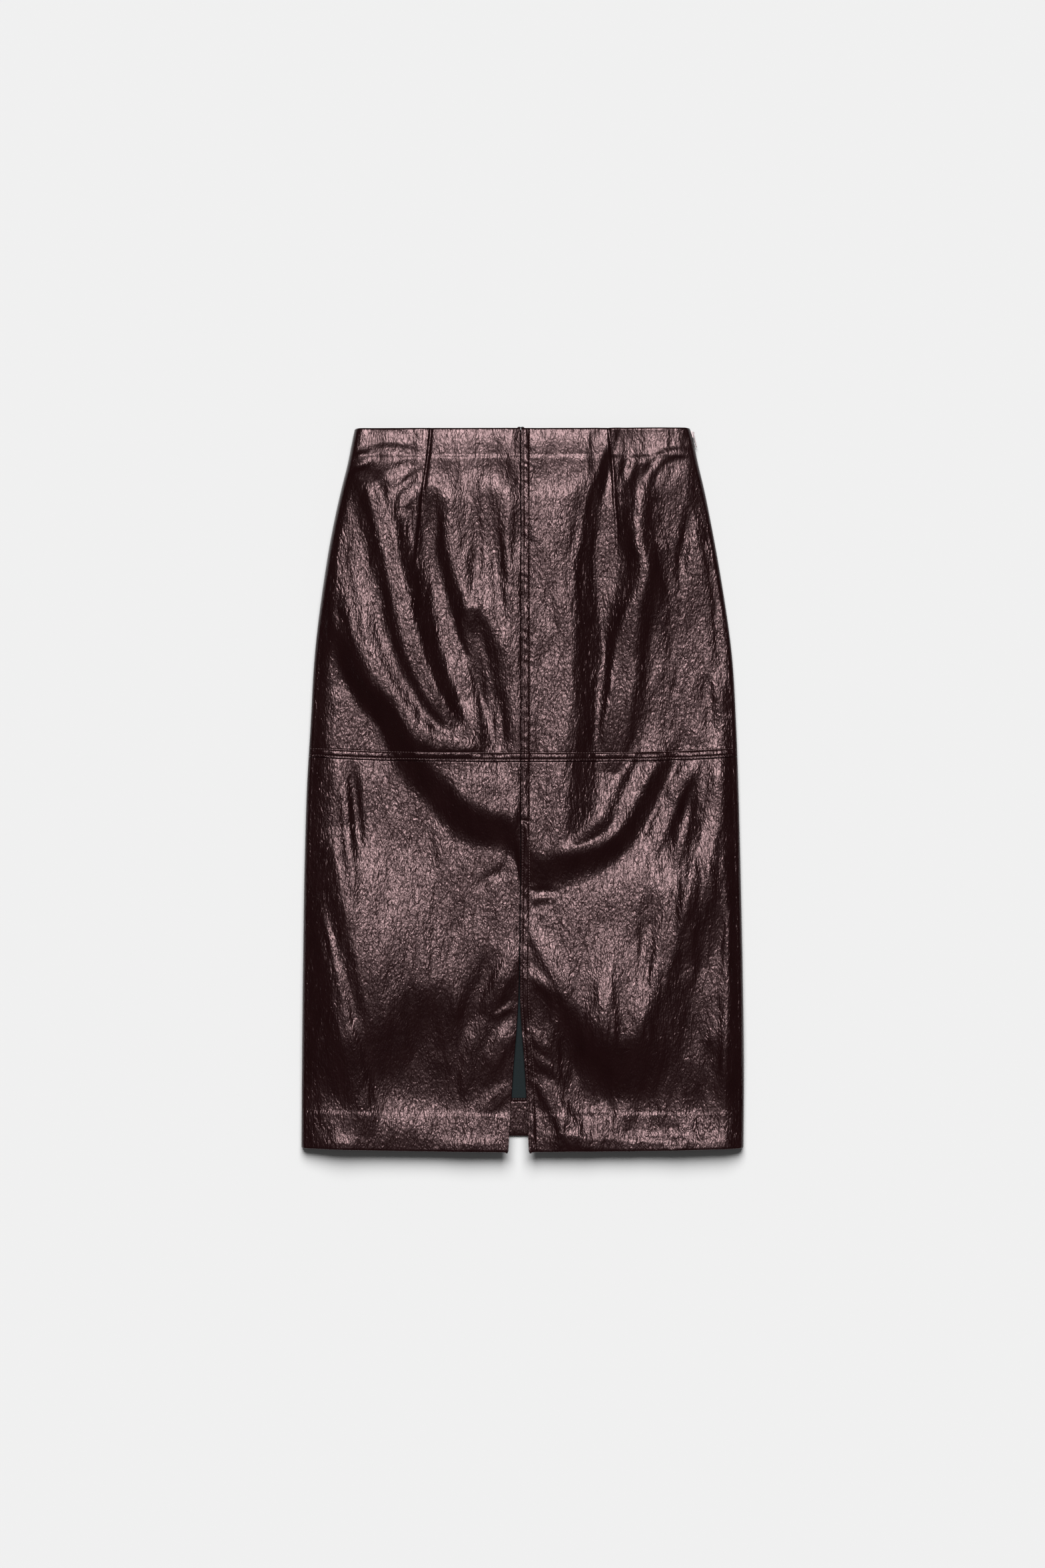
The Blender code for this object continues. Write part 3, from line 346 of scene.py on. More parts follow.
def ripple(x: Array, y: Array, seed: float) -> Array:
    """Smooth uneven noise from -1 to 1 with one bump to each unit of x and y.

    Formula: a fixed value at each whole x and y, from the fraction of a large sine, eased between.

    Args:
        x: places in units of a bump's width.
        y: places in units of a bump's length.
        seed: gives each use bumps of its own.

    Returns:
        The noise at each place.
    """
    i = np.floor(x)
    j = np.floor(y)
    u = smooth(x - i)
    v = smooth(y - j)
    by_x, by_y, by_seed, scale = LATTICE

    def value(a: Array, b: Array) -> Array:
        """The fixed value of a lattice point."""
        s = np.sin(a * by_x + b * by_y + seed * by_seed) * scale
        return 2.0 * (s - np.floor(s)) - 1.0

    low = value(i, j) * (1 - u) + value(i + 1, j) * u
    high = value(i, j + 1) * (1 - u) + value(i + 1, j + 1) * u
    return low * (1 - v) + high * v


def bell(distance: Array, width: float) -> Array:
    """A bell of that half width: exp(-(d / w)^2)."""
    return np.exp(-((distance / width) ** 2))


def fold_height(x: Array, y: Array, fold: Fold) -> Array:
    """The height that a fold adds at each point.

    Formula: height * exp(-1.4 |d / flank|^p), where d is the distance to the curve less its flat
    half width. The curve and its sizes run smoothly through the fold's rows.

    Args:
        x: points' x in millimetres.
        y: points' y in millimetres.
        fold: the ridge or valley.

    Returns:
        The added height at each point.
    """
    rows = np.array(fold.rows, float)
    keys = np.concatenate([[0.0], np.cumsum(np.hypot(*np.diff(rows[:, :2], axis=0).T))])
    table = {"key": tuple(keys)} | {str(k): tuple(rows[:, k]) for k in range(6)}
    at = np.linspace(0.0, keys[-1], FOLD_STEPS * (len(keys) - 1) + 1)
    line_x, line_y, flat, lower, upper, height = (along(table, "key", str(k), at) for k in range(6))
    reach = FOLD_REACH * max(rows[:, 3].max(), rows[:, 4].max()) + rows[:, 2].max()
    near = (x > line_x.min() - reach) & (x < line_x.max() + reach)
    near &= (y > line_y.min() - reach) & (y < line_y.max() + reach)
    added = np.zeros(x.shape)
    px = x[near]
    py = y[near]
    nearest = np.full(px.shape, np.inf)
    place = np.zeros(px.shape)
    over = np.zeros(px.shape, bool)
    for k in range(len(at) - 1):
        dx = line_x[k + 1] - line_x[k]
        dy = line_y[k + 1] - line_y[k]
        share = np.clip(((px - line_x[k]) * dx + (py - line_y[k]) * dy) / (dx * dx + dy * dy), 0, 1)
        off_x = px - line_x[k] - share * dx
        off_y = py - line_y[k] - share * dy
        far = np.hypot(off_x, off_y)
        closer = far < nearest
        nearest = np.where(closer, far, nearest)
        place = np.where(closer, k + share, place)
        over = np.where(closer, dx * off_y - dy * off_x > 0, over)
    steps = np.arange(len(at))
    flank = np.where(over, np.interp(place, steps, upper), np.interp(place, steps, lower))
    past = np.maximum(nearest - np.interp(place, steps, flat), 0.0) / flank
    added[near] = np.interp(place, steps, height) * np.exp(-FOLD_STEEPNESS * past**fold.crest.value)
    return added


# ------------------------------------------------------------------ the skirt's form


@dataclass(frozen=True)
class Slope:
    """A smooth rise of the cloth from a place on, in millimetres."""

    start: float
    run: float
    rise: float = 1.0

    def at(self, place: Array) -> Array:
        """The rise so far: an eased share of the whole."""
        return self.rise * smooth((place - self.start) / self.run)


@dataclass(frozen=True)
class SkirtForm:
    """The skirt's sizes in millimetres, and the heights of its front over the floor."""

    # the edges and seams
    waist: float = 379.1
    waist_lean: float = 0.0027
    back_waist_drop: float = 1.2
    yoke: float = 30.0
    yoke_rise: float = 5.2
    yoke_half: float = 226.0
    front_hem: float = -378.7
    front_hem_rise: float = 3.8
    back_hem: float = -362.9
    back_hem_drop: float = 11.5
    hem_half: float = 232.3
    # the cloth's turned edges and its bends at the sides
    wall: float = 1.0
    seam_gap: float = 0.3
    turn_radius: float = 1.6
    hem_depth: float = 38.5
    facing_depth: float = 30.0
    waist_turn: float = 6.0
    side_z: float = 4.6
    front_bend: float = 6.0
    back_bend: float = 3.8
    seam_straight: float = 0.9
    # the thighs' plateau: its height at the hips, its climb and the width of its edge
    low_front: float = 16.2
    climb: float = 6.0
    climb_start: float = 40.0
    climb_run: float = 300.0
    thigh_run: float = 66.0
    thigh_sink: Slope = Slope(250.0, 80.0, 1.6)  # along -Y
    # the rise to the hem, whose start wanders
    lip_rise: float = 2.2
    lip_start: float = -318.0
    lip_run: float = 62.0
    lip_wander: float = 9.0
    lip_wave: float = 38.0
    # the fall to the waist, which is less deep towards both sides
    dip: float = 6.6
    dip_right: Slope = Slope(80.0, 50.0, 3.6)
    dip_left: Slope = Slope(60.0, 60.0, 1.6)  # along -X
    dip_run: float = 78.0
    dip_wander: float = 15.0
    dip_wave: float = 31.0
    # the gentle rise beyond the step down to the right hip
    hip_rise: Slope = Slope(92.0, 96.0, 5.3)
    hip_foot: Slope = Slope(-70.0, 90.0)
    # where the ripples are stronger: low on the right side, and beside the slit
    rougher: float = 0.85
    right_from: tuple[Slope, Slope] = (Slope(90.0, 60.0), Slope(30.0, 80.0))  # along X and -Y
    slit_from: tuple[Slope, Slope] = (Slope(-10.0, 50.0), Slope(190.0, 60.0))
    # the prints of the facing and the hem: least height, what the noise adds, width of the edge
    facing_print: tuple[float, float, float] = (0.12, 0.3, 3.0)
    hem_print: tuple[float, float, float] = (0.1, 0.36, 3.4)
    hem_wander: float = 1.2
    print_wave: float = 34.0
    # the sewn bands: the rows' distances, and the sizes of what the thread pulls in
    first_row: float = 2.3
    second_row: float = 9.0
    band_rise: float = 0.6
    pucker_rise: float = 0.20
    pucker_pitch: float = 3.4
    pucker_slant: float = 7.0
    pucker_share: float = 0.6  # of wider puckers among them
    pucker_wide: tuple[float, float] = (7.3, 9.0)
    pucker_reach: float = 7.5
    groove_depth: float = 0.26
    groove_width: float = 0.6

    @property
    def foot(self) -> float:
        """Height at which the side bend of the front meets the straight run over its seam."""
        return self.side_z + self.seam_gap / 2 + self.seam_straight

    def half_width(self, side: Side, y: Array) -> Array:
        """Distance from the origin's line to the side seam."""
        return along(OUTLINE, "y", "left" if side is Side.LEFT else "right", y)

    def middle_edge(self, side: Side, y: Array) -> Array:
        """X of a front panel's edge at the middle seam or the slit."""
        return along(SLIT, "y", "left" if side is Side.LEFT else "right", y)

    def waist_y(self, x: Array) -> Array:
        """Y of the waist edge, which rises a little to the right."""
        return self.waist + self.waist_lean * x

    def yoke_y(self, x: Array) -> Array:
        """Y of the yoke seam, which rises towards the sides with the cube of x."""
        return self.yoke + self.yoke_rise * (np.abs(x) / self.yoke_half) ** 3

    def front_hem_y(self, x: Array) -> Array:
        """Y of the front hem, a flat parabola."""
        return self.front_hem + self.front_hem_rise * (x / self.hem_half) ** 2

    def back_hem_y(self, x: Array) -> Array:
        """Y of the back hem, which is shorter at the middle."""
        return self.back_hem - self.back_hem_drop * (np.abs(x) / self.hem_half) ** 2.5

    def past_line(self, x: Array, y: Array, table: dict[str, tuple]) -> Array:
        """Distance over a line that is given as y along x, measured across the line.

        Args:
            x: points' x.
            y: points' y.
            table: the line's columns x and y.

        Returns:
            The distance of each point, above zero over the line.
        """
        aside = 2.0
        line = along(table, "x", "y", x)
        lean = (along(table, "x", "y", x + aside) - along(table, "x", "y", x - aside)) / (2 * aside)
        return (y - line) / np.sqrt(1.0 + lean**2)

    def broad_height(self, x: Array, y: Array) -> Array:
        """Height of the front's outer face without its small creases.

        Formula: the thighs' plateau, which rises gently from the hips to its own edge and then
        falls to the hem; the dome over the hips on it; a fall to the waist; a step down to the
        right hip and a gentle rise beyond it; mounds and large folds; and a parabola down to
        each side, towards the side seam.

        Args:
            x: points' x.
            y: points' y.

        Returns:
            The height of each point.
        """
        over_belly = self.past_line(x, y, BELLY)
        over_thigh = self.past_line(x, y, THIGH)
        climbed = np.clip((self.climb_start - y) / self.climb_run, 0, 1)
        fallen = along(THIGH, "x", "drop", x) * smooth(0.5 - over_thigh / self.thigh_run)
        height = self.low_front + self.climb * climbed - fallen
        lip_start = self.lip_start + self.lip_wander * ripple(x / self.lip_wave, 0 * x, 10.0)
        height = height + self.lip_rise * smooth((lip_start - y) / self.lip_run)
        height = height - self.thigh_sink.at(-y)
        on_dome = ramp(over_belly / along(BELLY, "x", "run", x) + 0.5)
        height = height + along(BELLY, "x", "drop", x) * on_dome
        dip_run = self.dip_run + self.dip_wander * ripple(x / self.dip_wave, 0 * x, 9.0)
        height = height - self.waist_dip(x) * smooth(1 - (self.waist - y) / dip_run)
        past_hip = (x - along(HIP, "y", "x", y)) / along(HIP, "y", "run", y) + 0.5
        height = height - along(HIP, "y", "drop", y) * ramp(past_hip)
        height = height + self.hip_rise.at(x) * self.hip_foot.at(y)
        for mid_x, mid_y, half_x, half_y, rise in MOUNDS:
            height = height + rise * bell(np.hypot((x - mid_x) / half_x, (y - mid_y) / half_y), 1.0)
        for fold in FOLDS:
            height = height + fold_height(x, y, fold)
        side_left = (self.half_width(Side.LEFT, y) + x) / along(ROLL, "y", "left", y)
        side_right = (self.half_width(Side.RIGHT, y) - x) / along(ROLL, "y", "right", y)
        near_side = np.clip(1 - np.minimum(side_left, side_right), 0, 1)
        return self.foot + (height - self.foot) * (1 - along(ROLL, "y", "share", y) * near_side**2)

    def waist_dip(self, x: Array) -> Array:
        """How far the front comes down from the hips to the waist edge."""
        return self.dip - self.dip_right.at(x) - self.dip_left.at(-x)

    def front_height(self, x: Array, y: Array) -> Array:
        """Height of the front's outer face, creases, darts and uneven cloth included.

        Args:
            x: points' x.
            y: points' y.

        Returns:
            The height of each point.
        """
        height = self.broad_height(x, y)
        for crease in CREASES + DARTS:
            height = height + fold_height(x, y, crease)
        return height + self.unevenness(x, y) + self.prints(x, y)

    def unevenness(self, x: Array, y: Array) -> Array:
        """Long soft ripples down the cloth, which lean and wander, in four widths.

        Formula: noise stretched along Y, read at places that are pushed aside by wider noise.

        Args:
            x: points' x.
            y: points' y.

        Returns:
            The height that the ripples add.
        """
        aside = x
        for push, width, length, seed in WANDER:
            aside = aside + push * ripple(x / width, y / length, seed)
        share, width, length, seed = LEAN
        lean = y / share * ripple(x / width, y / length, seed)
        at_right, beside_slit = (
            from_x.at(x) * from_y.at(-y) for from_x, from_y in (self.right_from, self.slit_from)
        )
        total = np.zeros(x.shape)
        for height, width, length, slant, share, seed in RIPPLES:
            total = total + height * ripple((aside + share * lean) / width, y / length + x / slant, seed)
        return (1.0 + self.rougher * np.maximum(at_right, beside_slit)) * total

    def prints(self, x: Array, y: Array) -> Array:
        """What lies under the front and shows through: the waist facing and the hem's edge.

        Args:
            x: points' x.
            y: points' y.

        Returns:
            The height that the prints add.
        """
        over_facing = y - (self.waist_y(x) - self.facing_depth)
        over_hem = y - self.front_hem_y(x) - self.hem_depth
        uneven = 0.5 + 0.5 * ripple(x / self.print_wave, 0 * x, 8.0)
        least, more, edge = self.facing_print
        facing = (least + more * uneven) * smooth(over_facing / edge + 0.5)
        least, more, edge = self.hem_print
        hem = (least + more * uneven) * smooth(0.5 - (over_hem - self.hem_wander * uneven) / edge)
        return facing + hem

    def sewn(self, distance: Array, place: Array, seed: float) -> Array:
        """The band beside a seam, with two rows of stitches sunk into it.

        Formula: half an ellipse between the rows, with uneven puckers across it, and a narrow
        groove under each row.

        Args:
            distance: from the seam.
            place: along the seam.
            seed: gives each seam puckers of its own.

        Returns:
            The height that the band adds.
        """
        middle = (self.first_row + self.second_row) / 2
        half = (self.second_row - self.first_row) / 2
        inside = np.sqrt(np.clip(1 - ((distance - middle) / half) ** 2, 0, 1))
        wide_place, wide_distance = self.pucker_wide
        pucker = ripple(place / self.pucker_pitch + distance / self.pucker_slant, 0 * place, seed)
        wide = ripple(place / wide_place, distance / wide_distance, seed + 0.5)
        pucker = pucker + self.pucker_share * wide
        spread = bell(distance - middle, self.pucker_reach)
        grooves = sum(bell(distance - row, self.groove_width) for row in (self.first_row, self.second_row))
        return self.band_rise * inside + self.pucker_rise * pucker * spread - self.groove_depth * grooves


FORM = SkirtForm()


# ------------------------------------------------------------------ meshes


def grid_faces(rows: int, columns: int, flip: bool) -> Array:
    """Quads of a grid whose points run row by row.

    Args:
        rows: of points.
        columns: of points.
        flip: whether the faces look the other way.

    Returns:
        Four point numbers to a face.
    """
    r, c = np.meshgrid(np.arange(rows - 1), np.arange(columns - 1), indexing="ij")
    a = (r * columns + c).ravel()
    quads = np.stack([a, a + 1, a + columns + 1, a + columns], axis=1)
    return quads[:, ::-1] if flip else quads


def tube_faces(rings: int, sides: int) -> Array:
    """Quads of a tube whose points run ring by ring.

    Args:
        rings: of points.
        sides: points to a ring.

    Returns:
        Four point numbers to a face.
    """
    ring, spoke = np.meshgrid(np.arange(rings - 1), np.arange(sides), indexing="ij")
    a = (ring * sides + spoke).ravel()
    b = (ring * sides + (spoke + 1) % sides).ravel()
    return np.stack([a, b, b + sides, a + sides], axis=1)


def make_mesh(name: str, points: Array, faces: Array) -> bpy.types.Object:
    """A smooth mesh object from points in millimetres and faces of one size.

    Args:
        name: the piece's name.
        points: one row of x, y, z to a point.
        faces: one row of point numbers to a face.

    Returns:
        The linked object, at the origin.
    """
    mesh = bpy.data.meshes.new(name)
    corners = faces.shape[1]
    mesh.vertices.add(len(points))
    mesh.vertices.foreach_set("co", (points * MM).astype(np.float32).ravel())
    mesh.loops.add(faces.size)
    mesh.loops.foreach_set("vertex_index", faces.astype(np.int32).ravel())
    mesh.polygons.add(len(faces))
    mesh.polygons.foreach_set("loop_start", np.arange(0, faces.size, corners, dtype=np.int32))
    mesh.update(calc_edges=True)
    mesh.validate()
    mesh.shade_smooth()
    made = bpy.data.objects.new(name, mesh)
    bpy.context.scene.collection.objects.link(made)
    return made


def unit_normals(grid: Array, upward: bool) -> Array:
    """Unit normals of a grid of points.

    Args:
        grid: rows by columns of points.
        upward: whether the normal at the grid's middle looks up.

    Returns:
        A normal to each point.
    """
    normals = np.cross(np.gradient(grid, axis=1), np.gradient(grid, axis=0))
    normals /= np.maximum(np.linalg.norm(normals, axis=2, keepdims=True), 1e-9)
    faces_up = normals[grid.shape[0] // 2, grid.shape[1] // 2, 2] > 0
    return normals if faces_up == upward else -normals


def turn_edge(grid: Array, upward: bool, under_rows: Sequence[int], depth: float) -> Array:
    """Turn the last row of a grid round and back under the cloth.

    Formula: a half circle of the turn radius, from the outer normal towards the run of the last
    rows, and then points two radii under rows of the grid itself or a straight return.

    Args:
        grid: rows by columns of points.
        upward: whether the outer face looks up.
        under_rows: the rows that the return lies under, counted back from the last one.
        depth: the length of a straight return, used where there are no such rows.

    Returns:
        The grid with the new rows at its end.
    """
    radius = FORM.turn_radius
    normals = unit_normals(grid, upward)
    last = grid[-1]
    normal = normals[-1]
    forward = last - grid[-2]
    forward[:, 0] = 0.0
    forward -= normal * np.sum(forward * normal, axis=1, keepdims=True)
    forward /= np.linalg.norm(forward, axis=1, keepdims=True)
    centre = last - normal * radius
    added = []
    for k in range(1, TURN_STEPS + 1):
        angle = math.pi * k / TURN_STEPS
        added.append(centre + radius * (normal * math.cos(angle) + forward * math.sin(angle)))
    for back in under_rows:
        added.append(grid[-1 - back] - normals[-1 - back] * 2 * radius)
    if not under_rows:
        for share in (0.5, 1.0):
            added.append(last - forward * depth * share - normal * 2 * radius)
    return np.concatenate([grid, np.array(added)])


def seat(name: str, points: Array, flip: bool) -> bpy.types.Object:
    """A grid of points as one mesh, with a wall of cloth on its inner side.

    Args:
        name: the piece's name.
        points: rows by columns of points on the outer face.
        flip: whether the faces look the other way.

    Returns:
        The linked object.
    """
    rows, columns = points.shape[:2]
    made = make_mesh(name, points.reshape(-1, 3), grid_faces(rows, columns, flip))
    wall = made.modifiers.new("wall", "SOLIDIFY")
    wall.thickness = FORM.wall * MM
    wall.offset = -1.0
    wall.material_offset = 1
    wall.material_offset_rim = 0
    return made


def steps_of(start: float, stop: float, spacing: float) -> Array:
    """Even steps from start to stop, both included, no wider than the spacing."""
    return np.linspace(start, stop, max(2, math.ceil(abs(stop - start) / spacing) + 1))


def strips(**parts: Array) -> dict[str, Array]:
    """The strips of a grid, laid side by side.

    Args:
        parts: each strip's own values, by its name and in order.

    Returns:
        The strip's number under "kind", and each strip's values under its name, zero elsewhere.
    """
    kind = np.repeat(np.arange(len(parts)), [len(values) for values in parts.values()])
    laid = {"kind": kind}
    for number, (name, values) in enumerate(parts.items()):
        laid[name] = np.zeros(len(kind))
        laid[name][kind == number] = values
    return laid


# ------------------------------------------------------------------ front panels


@dataclass(frozen=True)
class FrontPanel:
    """One of the four front panels: a fine grid over the front, with rolled and turned edges."""

    side: Side
    level: Level
    edge_roll: float = 0.5  # radius of the rolled edges at the seams
    near: float = 12.0  # width of the finer strip beside a seam
    near_spacing: float = 0.75
    spacing: float = 1.5
    coarser: float = 1.1  # spacing of the rows below the yoke seam, in shares of the others'
    field_width: float = 208.0  # between the finer strip and the side's bend
    upper_length: float = 334.0  # between the finer strip and the waist
    lower_length: float = 357.0  # between the finer strip and the hem
    bend_step: float = 12.0  # degrees to a column in the side's bend

    @property
    def name(self) -> str:
        """The CAD node that the panel stands for."""
        return f"front_{self.level.value}_{self.side.name.lower()}"

    def columns(self) -> dict[str, Array]:
        """The grid's columns: roll angle, distance from the edge, share of the field and bend."""
        return strips(
            roll=ROLL_ANGLES,
            near=steps_of(0.0, self.near, self.near_spacing),
            share=steps_of(0.0, 1.0, self.spacing / self.field_width)[1:],
            bend=np.radians(steps_of(0.0, 90.0, self.bend_step))[1:],
            seam=np.zeros(1),
        )

    def rows(self) -> dict[str, Array]:
        """The grid's rows, from the yoke seam to the waist or the hem.

        Returns:
            Strips of the roll angle, the distance from the seam, the share of the field and the
            distance over the hem's fold.
        """
        near = steps_of(0.0, self.near, self.near_spacing)
        if self.level is Level.UPPER:
            field = steps_of(0.0, 1.0, self.spacing / self.upper_length)[1:]
            return strips(roll=ROLL_ANGLES, near=near, share=field, hem=np.array([]))
        spacing = self.spacing * self.coarser
        field = steps_of(0.0, 1.0, spacing / self.lower_length)[1:]
        hem = steps_of(FORM.hem_depth, 0.0, spacing)[1:]
        return strips(roll=ROLL_ANGLES, near=near[::2], share=field, hem=hem)

    def row_y(self, rows: dict[str, Array], x: Array) -> Array:
        """Y of each point.

        Args:
            rows: the grid's rows.
            x: each point's x.

        Returns:
            An array like x.
        """
        kind = rows["kind"][:, None]
        up = 1.0 if self.level is Level.UPPER else -1.0
        edge = FORM.yoke_y(x) + up * FORM.seam_gap / 2
        rolled = edge + up * self.edge_roll * (1 - np.sin(rows["roll"][:, None]))
        near = edge + up * (self.edge_roll + rows["near"][:, None])
        start = edge + up * (self.edge_roll + self.near)
        if self.level is Level.UPPER:
            stop = FORM.waist_y(x) - FORM.turn_radius
            hem = stop
        else:
            fold = FORM.front_hem_y(x) + FORM.turn_radius
            stop = fold + FORM.hem_depth
            hem = fold + rows["hem"][:, None]
        field = start + (stop - start) * rows["share"][:, None]
        return np.choose(kind * np.ones(x.shape, int), [rolled, near, field, hem + 0 * x])

    def column_x(self, columns: dict[str, Array], y: Array) -> Array:
        """X of each point.

        Args:
            columns: the grid's columns.
            y: each point's y.

        Returns:
            An array like y.
        """
        s = float(self.side.value)
        kind = columns["kind"][None, :]
        edge = FORM.middle_edge(self.side, y)
        width = FORM.half_width(self.side, y)
        bend_start = s * (width - FORM.front_bend)
        rolled = edge + s * self.edge_roll * (1 - np.sin(columns["roll"][None, :]))
        near = edge + s * (self.edge_roll + columns["near"][None, :])
        start = edge + s * (self.edge_roll + self.near)
        field = start + (bend_start - start) * columns["share"][None, :]
        bend = bend_start + s * FORM.front_bend * np.sin(columns["bend"][None, :])
        return np.choose(kind * np.ones(y.shape, int), [rolled, near, field, bend, s * width])

    def height(self, x: Array, y: Array) -> Array:
        """Height of the panel's outer face with its sewing, without rolled edges and bends.

        Args:
            x: points' x.
            y: points' y.

        Returns:
            The height of each point.
        """
        height = FORM.front_height(x, y)
        from_edge = (x - FORM.middle_edge(self.side, y)) * self.side.value
        from_yoke = y - FORM.yoke_y(x)
        if self.side is Side.RIGHT:
            height = height + FORM.sewn(from_edge, y, 11.0)
        if self.level is Level.UPPER:
            height = height + FORM.sewn(from_yoke, x, 23.0)
        return height

    def surface(self) -> Array:
        """Points of the panel's outer face, rows by columns.

        Formula: rows and columns cross where each point's x and y agree, found in three rounds;
        the height comes from the form, less the rolls at the seams and the bend at the side.

        Returns:
            Rows by columns of points.
        """
        rows = self.rows()
        columns = self.columns()
        y = self.row_y(rows, np.zeros((len(rows["kind"]), len(columns["kind"]))))
        for _ in range(3):
            x = self.column_x(columns, y)
            y = self.row_y(rows, x)
        x = self.column_x(columns, y)
        flat_x = x.copy()
        bent = columns["kind"] >= BEND
        limit = self.side.value * (FORM.half_width(self.side, y) - FORM.front_bend)
        flat_x[:, bent] = limit[:, bent]
        z = self.height(flat_x, y)
        z = z - self.edge_roll * (1 - np.cos(columns["roll"]))[None, :]
        z = z - self.edge_roll * (1 - np.cos(rows["roll"]))[:, None]
        lean = np.where(columns["kind"] == BEND, np.cos(columns["bend"]), 1.0)[None, :]
        z = FORM.foot + (z - FORM.foot) * lean
        z[:, columns["kind"] == SEAM] = FORM.side_z + FORM.seam_gap / 2
        return np.stack([x, y, z], axis=2)

    def build(self) -> bpy.types.Object:
        """The panel's cloth, with its waist edge turned in or its hem turned up.

        Returns:
            The linked object.
        """
        grid = self.surface()
        if self.level is Level.UPPER:
            grid = turn_edge(grid, True, (), FORM.waist_turn)
        else:
            hem_rows = int((self.rows()["kind"] == HEM).sum())
            grid = turn_edge(grid, True, list(range(1, hem_rows, 3)) + [hem_rows], 0.0)
        flip = (self.side is Side.LEFT) == (self.level is Level.UPPER)
        return seat(f"cloth_{self.name}", grid, flip)


# ------------------------------------------------------------------ back panels


@dataclass(frozen=True)
class BackPanel:
    """A back panel, flat on the floor, with its sides turned up to the side seams."""

    level: Level
    spacing: float = 6.0
    width: float = 456.0
    length: float = 350.0
    bend_step: float = 15.0  # degrees to a column in the sides' bends
    at_seam: float = 9.0  # stands for the straight run to the seam, in place of an angle

    @property
    def name(self) -> str:
        """The CAD node that the panel stands for."""
        return f"back_{self.level.value}"

    def columns(self) -> tuple[Array, Array]:
        """The grid's columns, from left to right.

        Returns:
            The share across the flat, and the angle in the side's bend, below zero at the left.
        """
        angles = np.radians(steps_of(0.0, 90.0, self.bend_step))
        flat = steps_of(0.0, 1.0, self.spacing / self.width)[1:-1]
        share = np.concatenate([np.zeros(len(angles) + 1), flat, np.ones(len(angles) + 1)])
        bend = np.concatenate([[-self.at_seam], -angles[::-1], 0 * flat, angles, [self.at_seam]])
        return share, bend

    def surface(self) -> Array:
        """Points of the panel's outer face, with the floor at Z 0.

        Formula: even rows between the yoke seam and the waist or hem; across, the flat runs
        between two quarter bends, found in four rounds, as the width depends on y.

        Returns:
            Rows by columns of points.
        """
        share, bend = self.columns()
        upper = self.level is Level.UPPER
        body = steps_of(0.0, 1.0, self.spacing / self.length)
        hem = np.array([]) if upper else steps_of(FORM.hem_depth, 0.0, self.spacing)[1:]
        in_hem = np.repeat([False, True], [len(body), len(hem)])[:, None]
        part = np.concatenate([body, hem])[:, None]
        x = np.zeros((len(part), len(share)))
        for _ in range(4):
            yoke = FORM.yoke_y(x) + (0.5 if upper else -0.5) * FORM.seam_gap
            fold = FORM.back_hem_y(x) + FORM.turn_radius
            top = FORM.waist_y(x) - FORM.back_waist_drop - FORM.turn_radius
            stop = top if upper else fold + FORM.hem_depth
            y = np.where(in_hem, fold + part, yoke + (stop - yoke) * part)
            left = -FORM.half_width(Side.LEFT, y)
            right = FORM.half_width(Side.RIGHT, y)
            reach = FORM.back_bend * (1 - np.sin(np.clip(np.abs(bend), 0, math.pi / 2)))[None, :]
            middle = left + FORM.back_bend + (right - left - 2 * FORM.back_bend) * share[None, :]
            x = np.where(bend[None, :] < 0, left + reach, middle)
            x = np.where(bend[None, :] > 0, right - reach, x)
        rise = FORM.side_z - FORM.seam_gap / 2 - FORM.seam_straight
        angle = np.clip(np.abs(bend), 0, math.pi / 2)
        past_bend = np.abs(bend) == self.at_seam
        z = np.where(past_bend, FORM.side_z - FORM.seam_gap / 2, rise * (1 - np.cos(angle)))
        return np.stack([x, y, np.broadcast_to(z[None, :], x.shape)], axis=2)

    def build(self) -> bpy.types.Object:
        """The panel's cloth, with its waist edge turned in or its hem turned up.

        Returns:
            The linked object.
        """
        grid = self.surface()
        if self.level is Level.UPPER:
            grid = turn_edge(grid, False, (), FORM.waist_turn)
        else:
            hem_rows = len(steps_of(FORM.hem_depth, 0.0, self.spacing)) - 1
            grid = turn_edge(grid, False, list(range(1, hem_rows + 1)), 0.0)
        return seat(f"cloth_{self.name}", grid, self.level is Level.UPPER)


# ------------------------------------------------------------------ thread


def stitches(
    name: str,
    middles: Array,
    directions: Array,
    height: Height,
    length: float,
    radius: float,
) -> bpy.types.Object:
    """Short straight threads as one mesh.

    Formula: each is a tube of six sides and six rings whose radius follows a half ellipse and
    whose middle arches over the cloth.

    Args:
        name: the piece's name.
        middles: x and y of each thread's middle.
        directions: unit vectors along each thread.
        height: the cloth's height at places x and y.
        length: of one thread.
        radius: of one thread.

    Returns:
        The linked object.
    """
    rings, sides, arch = 6, 6, 0.16
    along_it = np.linspace(-0.5, 0.5, rings)
    x = middles[:, :1] + directions[:, :1] * along_it * length
    y = middles[:, 1:] + directions[:, 1:] * along_it * length
    base = height(x, y)
    z = 0.5 * base + 0.5 * base[:, [rings // 2]] + arch * (1 - (2 * along_it) ** 2)
    thick = radius * np.sqrt(np.clip(1 - (1.9 * along_it) ** 2, 0.04, 1))
    angle = 2 * math.pi * np.arange(sides) / sides
    across = thick[None, :, None] * np.cos(angle)
    up = thick[None, :, None] * np.sin(angle)
    points = np.stack(
        [
            x[:, :, None] - directions[:, 1][:, None, None] * across,
            y[:, :, None] + directions[:, 0][:, None, None] * across,
            z[:, :, None] + up,
        ],
        axis=-1,
    )
    each = np.arange(len(middles)) * rings * sides
    faces = (tube_faces(rings, sides)[None] + each[:, None, None]).reshape(-1, 4)
    return make_mesh(name, points.reshape(-1, 3), faces)


